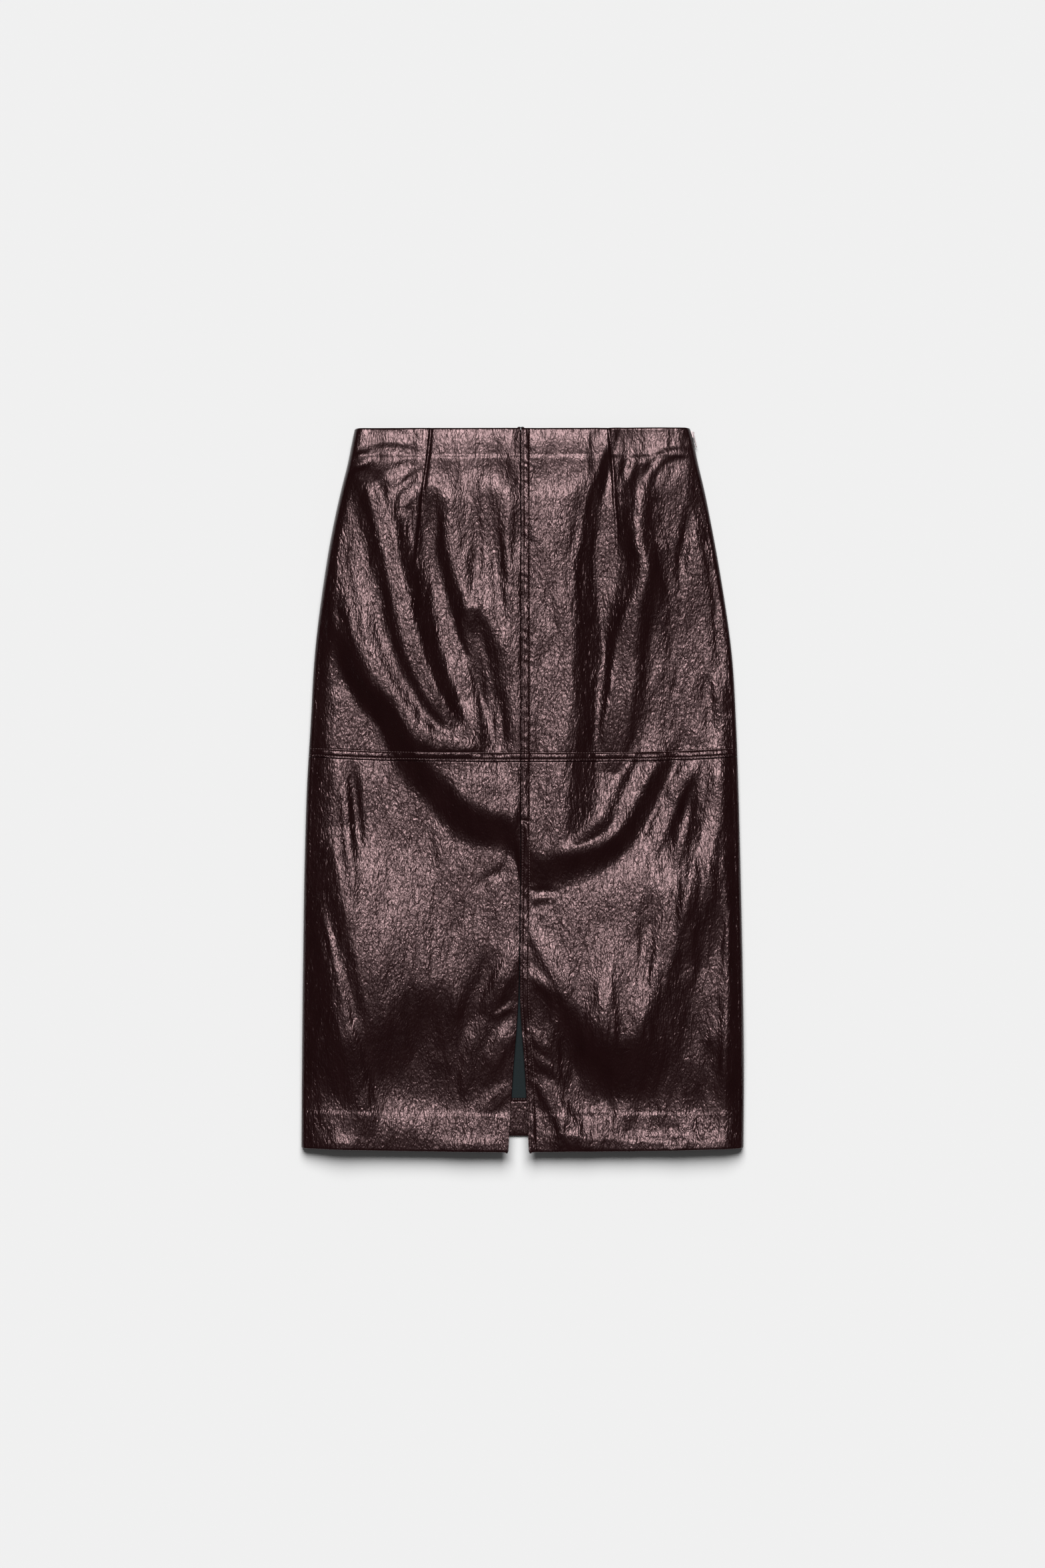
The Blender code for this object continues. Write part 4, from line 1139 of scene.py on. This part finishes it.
@dataclass(frozen=True)
class StitchRow:
    """A row of stitches along a line on the front."""

    name: str
    line: Line
    start: float
    stop: float
    height: Height
    pitch: float = 2.8
    length: float = 2.15
    radius: float = 0.24

    def build(self) -> bpy.types.Object:
        """All stitches of the row as one mesh.

        Returns:
            The linked object.
        """
        step = 0.2
        place = np.linspace(self.start, self.stop, int(abs(self.stop - self.start) / self.pitch))
        before = np.stack(self.line(place - step), axis=-1)
        after = np.stack(self.line(place + step), axis=-1)
        directions = (after - before) / np.linalg.norm(after - before, axis=1, keepdims=True)
        middles = (before + after) / 2
        return stitches(self.name, middles, directions, self.height, self.length, self.radius)


# ------------------------------------------------------------------ finishes


def new_group(
    name: str, inputs: dict[str, tuple[str, float | None]], outputs: dict[str, str]
) -> tuple[bpy.types.NodeTree, bpy.types.Node, bpy.types.Node]:
    """An empty shader node group with its sockets.

    Args:
        name: the group's name.
        inputs: socket type and default of each input, by name.
        outputs: socket type of each output, by name.

    Returns:
        The node tree with its input and output nodes.
    """
    tree = bpy.data.node_groups.new(name, "ShaderNodeTree")
    for label, (kind, default) in inputs.items():
        socket = tree.interface.new_socket(label, in_out="INPUT", socket_type=kind)
        if default is not None:
            socket.default_value = default
    for label, kind in outputs.items():
        tree.interface.new_socket(label, in_out="OUTPUT", socket_type=kind)
    return tree, tree.nodes.new("NodeGroupInput"), tree.nodes.new("NodeGroupOutput")


@dataclass
class Nodes:
    """A short hand for adding and linking nodes in one tree."""

    tree: bpy.types.NodeTree

    def feed(self, node: bpy.types.Node, inputs: dict[str | int, Feed]) -> None:
        """Set or link a node's inputs, given by name or number."""
        for key, value in inputs.items():
            if isinstance(value, bpy.types.NodeSocket):
                self.tree.links.new(value, node.inputs[key])
            else:
                node.inputs[key].default_value = value

    def add(self, kind: str, inputs: dict[str | int, Feed], **settings: object) -> bpy.types.Node:
        """A node with its settings and inputs.

        Args:
            kind: the node's type.
            inputs: what is set on or linked to its inputs, by name or number.
            settings: its other properties.

        Returns:
            The node.
        """
        node = self.tree.nodes.new(kind)
        for key, value in settings.items():
            setattr(node, key, value)
        self.feed(node, inputs)
        return node

    def math(self, operation: str, a: Feed, b: Feed = 0.0, c: Feed = 0.0) -> bpy.types.NodeSocket:
        """The output of a Math node."""
        return self.add("ShaderNodeMath", {0: a, 1: b, 2: c}, operation=operation).outputs[0]

    def noise(
        self, place: Feed, scale: Scale, detail: float, warp: float = 0.0
    ) -> bpy.types.NodeSocket:
        """Noise whose bumps are 1 / scale metres wide along each axis.

        Args:
            place: where the noise is read.
            scale: bumps to a metre along each axis.
            detail: how many finer octaves are added.
            warp: how far the bumps are pulled out of shape.

        Returns:
            The noise, from 0 to 1.
        """
        mapped = self.add("ShaderNodeMapping", {"Vector": place, "Scale": scale}).outputs[0]
        inputs = {"Vector": mapped, "Scale": 1.0, "Detail": detail, "Distortion": warp}
        return self.add("ShaderNodeTexNoise", inputs).outputs["Fac"]


@dataclass(frozen=True)
class Grain:
    """The leather's grain: pebbles near the waist and long crinkles elsewhere.

    Scales are in bumps to a metre, and weights in shares of the grain's depth.
    """

    streaks: Scale = (125.0, 40.0, 125.0)
    streak_weight: float = 0.5
    crinkles: Scale = (300.0, 98.0, 300.0)
    crinkle_weight: float = -0.72
    fine: Scale = (590.0, 240.0, 590.0)
    fine_weight: float = 0.5
    pebbles: float = 720.0
    pebble_squash: Scale = (1.0, 0.62, 1.0)
    pebble_weight: float = -0.18
    waist_from: float = 0.26  # Y in metres
    waist_to: float = 0.36
    waist_softer: float = -0.35
    tones: Scale = (60.0, 30.0, 60.0)

    def build(self) -> bpy.types.NodeTree:
        """The shared group.

        Formula: wide streaks, and on them ridged crinkles, fine crinkles and rounded pebbles,
        which are softer near the waist.

        Returns:
            The group, which puts out the grain's height and a tone from 0 to 1.
        """
        tree, source, sink = new_group(
            "leather_grain",
            {"Vector": ("NodeSocketVector", None), "Pebble From": ("NodeSocketFloat", self.waist_from)},
            {"Height": "NodeSocketFloat", "Tone": "NodeSocketFloat"},
        )
        n = Nodes(tree)
        place = source.outputs["Vector"]
        y = n.add("ShaderNodeSeparateXYZ", {"Vector": place}).outputs["Y"]
        near_waist = n.add(
            "ShaderNodeMapRange",
            {"Value": y, "From Min": source.outputs["Pebble From"], "From Max": self.waist_to},
            interpolation_type="SMOOTHSTEP",
        ).outputs[0]
        streaks = n.noise(place, self.streaks, 2.0, 0.4)
        crinkles = n.noise(place, self.crinkles, 1.0, 0.9)
        ridged = n.math("ABSOLUTE", n.math("MULTIPLY_ADD", crinkles, 2.0, -1.0))
        fine = n.math("MULTIPLY", n.noise(place, self.fine, 0.5, 0.3), self.fine_weight)
        squashed = n.add("ShaderNodeMapping", {"Vector": place, "Scale": self.pebble_squash})
        pebbles = n.add(
            "ShaderNodeTexVoronoi",
            {"Vector": squashed.outputs[0], "Scale": self.pebbles, "Smoothness": 0.5},
            feature="SMOOTH_F1",
        ).outputs["Distance"]
        grain = n.math("MULTIPLY_ADD", ridged, self.crinkle_weight, fine)
        grain = n.math("MULTIPLY_ADD", pebbles, self.pebble_weight, grain)
        softer = n.math("MULTIPLY_ADD", near_waist, self.waist_softer, 1.0)
        softened = n.math("MULTIPLY", grain, softer)
        height = n.math("MULTIPLY_ADD", streaks, self.streak_weight, softened)
        n.feed(sink, {"Height": height, "Tone": n.noise(place, self.tones, 4.0, 0.3)})
        return tree


@dataclass(frozen=True)
class Finish:
    """What all finishes share: a colour between a dark and a light one, and a relief."""

    name: str
    dark: Colour
    light: Colour
    strength: float  # of the relief
    depth: float  # of the relief, in metres

    def begin(self) -> tuple[bpy.types.Material, Nodes, bpy.types.NodeSocket]:
        """Start a material.

        Returns:
            The material, its nodes, and the place on the piece that they read.
        """
        made = bpy.data.materials.new(self.name)
        made.use_nodes = True
        n = Nodes(made.node_tree)
        return made, n, n.add("ShaderNodeTexCoord", {}).outputs["Object"]

    def dress(self, n: Nodes, tone: Feed, height: Feed, sockets: dict[str | int, Feed]) -> None:
        """Feed the shader.

        Args:
            n: the material's nodes.
            tone: how light the colour is, from 0 to 1.
            height: of the relief, as a share of its depth.
            sockets: what goes into the shader's other sockets.
        """
        colours = {"Factor": tone, 6: self.dark, 7: self.light}
        colour = n.add("ShaderNodeMix", colours, data_type="RGBA").outputs[2]
        relief = {"Height": height, "Strength": self.strength, "Distance": self.depth}
        normal = n.add("ShaderNodeBump", relief).outputs[0]
        n.feed(n.tree.nodes["Principled BSDF"], {"Base Color": colour, "Normal": normal} | sockets)


@dataclass(frozen=True)
class LeatherFinish(Finish):
    """Glossy faux leather: a dark burgundy body under a slightly red shine."""

    name: str = "burgundy_leather"
    dark: Colour = (0.0078, 0.0016, 0.0018, 1.0)
    light: Colour = (0.0150, 0.0042, 0.0046, 1.0)
    strength: float = 1.0
    depth: float = 0.00040
    shine: float = 0.27
    shine_tint: Colour = (1.0, 0.67, 0.68, 1.0)
    roughness: float = 0.20
    rougher: float = 0.10  # where the tone is light

    def build(self, grain: bpy.types.NodeTree) -> bpy.types.Material:
        """The material.

        Args:
            grain: the shared group of the grain.

        Returns:
            The material.
        """
        made, n, place = self.begin()
        group = n.add("ShaderNodeGroup", {"Vector": place}, node_tree=grain)
        tone = group.outputs["Tone"]
        sockets = {
            "Roughness": n.math("MULTIPLY_ADD", tone, self.rougher, self.roughness),
            "Specular IOR Level": self.shine,
            "Specular Tint": self.shine_tint,
        }
        self.dress(n, tone, group.outputs["Height"], sockets)
        return made


@dataclass(frozen=True)
class KnitFinish(Finish):
    """The knitted backing inside the skirt: dark teal ribs, with painted shade in their hollows."""

    name: str = "teal_backing"
    dark: Colour = (0.002, 0.007, 0.008, 1.0)
    light: Colour = (0.009, 0.018, 0.021, 1.0)
    strength: float = 0.8
    depth: float = 0.0003
    roughness: float = 0.85
    ribs: float = 350.0
    rib_weight: float = 0.5
    fuzz: Scale = (900.0, 500.0, 900.0)

    def build(self) -> bpy.types.Material:
        """The material: fine ribs with fuzzy noise between them, in relief and in colour, so the colour is
        darker where the relief is low, as painted shade.

        Returns:
            The material.
        """
        made, n, place = self.begin()
        ribs = n.add(
            "ShaderNodeTexWave",
            {"Vector": place, "Scale": self.ribs, "Distortion": 1.6, "Detail": 2.0},
            bands_direction="X",
        ).outputs["Fac"]
        height = n.math("MULTIPLY_ADD", ribs, self.rib_weight, n.noise(place, self.fuzz, 3.0))
        # the relief's height also sets the colour: painted shade in the hollows
        self.dress(n, height, height, {"Roughness": self.roughness})
        return made


@dataclass(frozen=True)
class ThreadFinish(Finish):
    """Sewing thread with twisted plies, with painted sheen on the plies' crests and painted shade between
    them.
    """

    strength: float = 0.5
    depth: float = 0.0001
    roughness: float = 0.42
    plies: float = 900.0
    slant: float = 0.7  # in radians

    def build(self) -> bpy.types.Material:
        """The material: slanting plies in relief, and in colour as painted sheen on their crests and painted
        shade in the grooves.

        Returns:
            The material.
        """
        made, n, place = self.begin()
        turned = n.add("ShaderNodeMapping", {"Vector": place, "Rotation": (0.0, 0.0, self.slant)})
        wave = {"Vector": turned.outputs[0], "Scale": self.plies}
        plies = n.add("ShaderNodeTexWave", wave).outputs["Fac"]
        # the plies' wave also sets the colour: painted sheen on the crests, painted shade in the grooves
        self.dress(n, plies, plies, {"Roughness": self.roughness})
        return made


@dataclass(frozen=True)
class LacquerFinish(Finish):
    """The zip's satin lacquer over metal, worn a little brighter in spots."""

    name: str = "zip_lacquer"
    dark: Colour = (0.085, 0.066, 0.068, 1.0)
    light: Colour = (0.21, 0.18, 0.18, 1.0)
    strength: float = 0.3
    depth: float = 0.00005
    roughness: float = 0.26
    rougher: float = 0.16  # along the brushed lines
    metal: float = 0.85
    brushing: Scale = (2600.0, 260.0, 2600.0)
    wear: Scale = (520.0, 520.0, 520.0)

    def build(self) -> bpy.types.Material:
        """The material: brushed along its length, with small worn spots.

        Returns:
            The material.
        """
        made, n, place = self.begin()
        brushed = n.noise(place, self.brushing, 3.0)
        worn = n.noise(place, self.wear, 2.0)
        rough = n.math("MULTIPLY_ADD", brushed, self.rougher, self.roughness)
        sockets = {"Roughness": rough, "Metallic": self.metal}
        self.dress(n, n.math("MULTIPLY", brushed, worn), brushed, sockets)
        return made


# ------------------------------------------------------------------ sewing


@dataclass(frozen=True)
class Sewing:
    """All stitches: two rows beside the middle seam and the slit, two over the yoke seam."""

    # the lighter colour of each thread is painted sheen on its plies' crests, and the darker one painted
    # shade between them
    thread: ThreadFinish = ThreadFinish(
        "burgundy_thread", (0.10, 0.052, 0.052, 1.0), (0.25, 0.165, 0.165, 1.0)
    )
    inner_thread: ThreadFinish = ThreadFinish(
        "hem_thread", (0.20, 0.16, 0.155, 1.0), (0.36, 0.31, 0.30, 1.0)
    )
    bar_start: tuple[float, float] = (-1.4, -31.4)
    bar_stop: tuple[float, float] = (7.9, -33.6)
    bar_threads: int = 19
    bar_width: float = 1.3
    bar_radius: float = 0.29
    hem_half: float = 222.0  # half the length of the row in the back's hem
    hem_edge: float = 1.2  # its distance from the hem's upper edge
    hem_radius: float = 0.3

    def middle_line(self, row: float) -> Line:
        """X and Y of a row beside the middle seam, for places along Y."""

        def line(place: Array) -> tuple[Array, Array]:
            """The row's point at each place."""
            return FORM.middle_edge(Side.RIGHT, place) + row, place

        return line

    def yoke_line(self, row: float) -> Line:
        """X and Y of a row over the yoke seam, for places along X."""

        def line(place: Array) -> tuple[Array, Array]:
            """The row's point at each place."""
            return place, FORM.yoke_y(place) + row

        return line

    def bar_tack(self) -> bpy.types.Object:
        """The bar tack at the top of the slit.

        Formula: close threads across a short slanted line.

        Returns:
            The linked object.
        """
        start = np.array(self.bar_start)
        run = np.array(self.bar_stop) - start
        bar = run / np.linalg.norm(run)
        middles = start + np.linspace(0, 1, self.bar_threads)[:, None] * run
        directions = np.tile([-bar[1], bar[0]], (self.bar_threads, 1))
        height = FrontPanel(Side.RIGHT, Level.LOWER).height
        name = "stitches_bar_tack"
        return stitches(name, middles, directions, height, self.bar_width, self.bar_radius)

    def hem_row(self) -> bpy.types.Object:
        """The row that holds the back's hem, seen through the slit.

        Returns:
            The linked object, with its thread.
        """

        def line(place: Array) -> tuple[Array, Array]:
            """The row's point at each place along X."""
            return place, FORM.back_hem_y(place) + FORM.turn_radius + FORM.hem_depth - self.hem_edge

        def height(x: Array, y: Array) -> Array:
            """The top of the turned-up hem."""
            return np.full(x.shape, 2 * FORM.turn_radius)

        half = self.hem_half
        row = StitchRow("stitches_back_hem", line, -half, half, height, radius=self.hem_radius).build()
        row.data.materials.append(self.inner_thread.build())
        return row

    def build(self) -> list[bpy.types.Object]:
        """All rows, each as one mesh, with its thread.

        Returns:
            The linked objects.
        """
        upper_right = FrontPanel(Side.RIGHT, Level.UPPER)
        rows = (  # name, line, first place, last place, and the panel that it is sewn on
            ("middle_{}_upper", self.middle_line, 376.0, 41.5, upper_right),
            ("middle_{}_lower", self.middle_line, 28.0, -374.0, FrontPanel(Side.RIGHT, Level.LOWER)),
            ("yoke_{}_left", self.yoke_line, -222.0, -4.5, FrontPanel(Side.LEFT, Level.UPPER)),
            ("yoke_{}_right", self.yoke_line, 9.5, 221.0, upper_right),
        )
        made = [
            StitchRow(f"stitches_{name.format(word)}", line(row), start, stop, panel.height).build()
            for word, row in (("first", FORM.first_row), ("second", FORM.second_row))
            for name, line, start, stop, panel in rows
        ]
        made.append(self.bar_tack())
        thread = self.thread.build()
        for piece in made:
            piece.data.materials.append(thread)
        return made + [self.hem_row()]


@dataclass(frozen=True)
class ZipTeeth:
    """The teeth of the concealed zip: a coil along the inside of the right side seam."""

    low: float = 186.0
    high: float = 367.0
    pitch: float = 1.15
    radius: float = 0.62
    wire: float = 0.16
    inset: float = 1.75
    rings: int = 12  # to a turn
    sides: int = 4

    def build(self) -> bpy.types.Object:
        """The coil as one tube.

        Formula: a helix round the seam's inner side, with rings of four sides, twelve to a turn.

        Returns:
            The linked object.
        """
        count = int((self.high - self.low) / self.pitch * self.rings)
        y = np.linspace(self.low, self.high, count)
        turn = 2 * math.pi * np.arange(count) / self.rings
        middle_x = FORM.half_width(Side.RIGHT, y) - self.inset
        angle = 2 * math.pi * np.arange(self.sides) / self.sides
        out = self.radius + self.wire * np.cos(angle)[None, :]
        x = middle_x[:, None] + out * np.cos(turn)[:, None]
        z = FORM.side_z + out * np.sin(turn)[:, None]
        along_y = y[:, None] + self.wire * np.sin(angle)[None, :]
        points = np.stack([x, along_y, z], axis=-1).reshape(-1, 3)
        return make_mesh("zip_teeth", points, tube_faces(count, self.sides))


# ------------------------------------------------------------------ the room


class Reach(Enum):
    """What a lamp shines on: all but the floor, or the floor alone."""

    SKIRT = "EXCLUDE"
    FLOOR = "INCLUDE"


@dataclass(frozen=True)
class Lamp:
    """A broad far light, tilted from straight above towards the waist."""

    name: str
    strength: float
    tilt: float  # in degrees
    spread: float  # in degrees
    reach: Reach

    def build(self, floor: bpy.types.Object) -> None:
        """The light, linked to what it shines on.

        Args:
            floor: the floor, left out or lit alone.
        """
        lamp = bpy.data.lights.new(self.name, "SUN")
        lamp.energy = self.strength
        lamp.angle = math.radians(self.spread)
        made = bpy.data.objects.new(self.name, lamp)
        made.rotation_euler = (-math.radians(self.tilt), 0.0, 0.0)
        bpy.context.scene.collection.objects.link(made)
        lit = bpy.data.collections.new(f"{self.name}_on")
        lit.objects.link(floor)
        lit.collection_objects[0].light_linking.link_state = self.reach.value
        made.light_linking.receiver_collection = lit


@dataclass(frozen=True)
class Studio:
    """A plain pale floor, soft light from above and a camera that looks straight down.

    The cloth's light comes from almost straight above, a little from the waist. The floor's
    light comes from the waist at a slant, and lays a soft shadow below the front hem.
    """

    lamps: tuple[Lamp, ...] = (
        Lamp("cloth_light", 2.35, 10.0, 9.0, Reach.SKIRT),
        Lamp("floor_light", 4.16, 42.0, 40.0, Reach.FLOOR),
    )
    room_light: float = 0.08
    floor_size: float = 60000.0
    floor_colour: Colour = (0.82, 0.82, 0.82, 1.0)
    floor_roughness: float = 0.9
    distance: float = 4.0
    photo_pixel: float = 0.0007
    photo_height: int = 2352
    sensor: float = 36.0
    far_end: float = 100.0
    look_at: tuple[float, float] = (-0.00035, 0.0065)

    def build(self) -> None:
        """The floor, the lights, the world and the camera."""
        floor = self.floor()
        for lamp in self.lamps:
            lamp.build(floor)
        self.world()
        self.camera()

    def floor(self) -> bpy.types.Object:
        """A large pale plane.

        Returns:
            The linked object.
        """
        corner = np.array([[-1, -1], [1, -1], [1, 1], [-1, 1]]) * self.floor_size / 2
        floor = make_mesh("floor", np.column_stack([corner, np.zeros(4)]), np.array([[0, 1, 2, 3]]))
        paper = bpy.data.materials.new("pale_floor")
        paper.use_nodes = True
        plain = {
            "Base Color": self.floor_colour,
            "Roughness": self.floor_roughness,
            "Specular IOR Level": 0.0,
        }
        Nodes(paper.node_tree).feed(paper.node_tree.nodes["Principled BSDF"], plain)
        floor.data.materials.append(paper)
        return floor

    def world(self) -> None:
        """A dim grey room."""
        world = bpy.data.worlds.new("room")
        world.use_nodes = True
        background = {"Color": (1.0, 1.0, 1.0, 1.0), "Strength": self.room_light}
        Nodes(world.node_tree).feed(world.node_tree.nodes["Background"], background)
        bpy.context.scene.world = world
        bpy.context.scene.view_settings.view_transform = "Standard"

    def camera(self) -> None:
        """A long lens straight above the skirt, with the photo's frame."""
        lens = bpy.data.cameras.new("camera")
        lens.sensor_fit = "AUTO"
        lens.sensor_width = self.sensor
        lens.lens = self.sensor * self.distance / (self.photo_pixel * self.photo_height)
        lens.clip_end = self.far_end
        made = bpy.data.objects.new("camera", lens)
        made.location = (self.look_at[0], self.look_at[1], self.distance)
        bpy.context.scene.collection.objects.link(made)
        bpy.context.scene.camera = made


# ------------------------------------------------------------------ the whole skirt


@dataclass(frozen=True)
class Skirt:
    """The dressed skirt: cloth, thread and zip, each riding on its body."""

    def cloth(self) -> None:
        """The six panels, each in the place of its CAD node."""
        leather = LeatherFinish().build(Grain().build())
        knit = KnitFinish().build()
        flat = {  # in metres
            "front_upper_left": (0.227, 0.356),
            "front_upper_right": (0.227, 0.356),
            "front_lower_left": (0.235, 0.450),
            "front_lower_right": (0.238, 0.450),
            "back_upper": (0.455, 0.356),
            "back_lower": (0.470, 0.450),
        }
        area = {  # of the curved ones, in square metres
            "front_upper_left": 0.0755,
            "front_upper_right": 0.0755,
            "back_upper": 0.148,
        }
        panels: list[FrontPanel | BackPanel] = [FrontPanel(s, v) for v in Level for s in Side]
        panels += [BackPanel(v) for v in Level]
        for panel in panels:
            piece = panel.build()
            piece.data.materials.append(leather)
            piece.data.materials.append(knit)
            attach(piece, "garment")
            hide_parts(panel.name)
            flat[panel.name]
            area.get(panel.name)
            log.info("cloth %s: %d points", panel.name, len(piece.data.vertices))

    def sewing(self) -> None:
        """The stitches."""
        for piece in Sewing().build():
            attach(piece, "garment")
            log.info("thread %s: %d points", piece.name, len(piece.data.vertices))

    def zip(self) -> None:
        """The zip's finish on its CAD nodes, and its teeth."""
        lacquer = LacquerFinish().build()
        for name in ("zip_slider", "zip_pull_tab"):
            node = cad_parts[name]
            node.data.materials.clear()
            node.data.materials.append(lacquer)
            log.info("zip %s: finish", name)
        teeth = ZipTeeth().build()
        teeth.data.materials.append(lacquer)
        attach(teeth, "garment")
        log.info("zip %s: %d points", teeth.name, len(teeth.data.vertices))


def main() -> None:
    """Build the skirt and the room."""
    logging.basicConfig(level=logging.INFO)
    skirt = Skirt()
    skirt.cloth()
    skirt.sewing()
    skirt.zip()
    Studio().build()


if __name__ == "__main__":
    main()
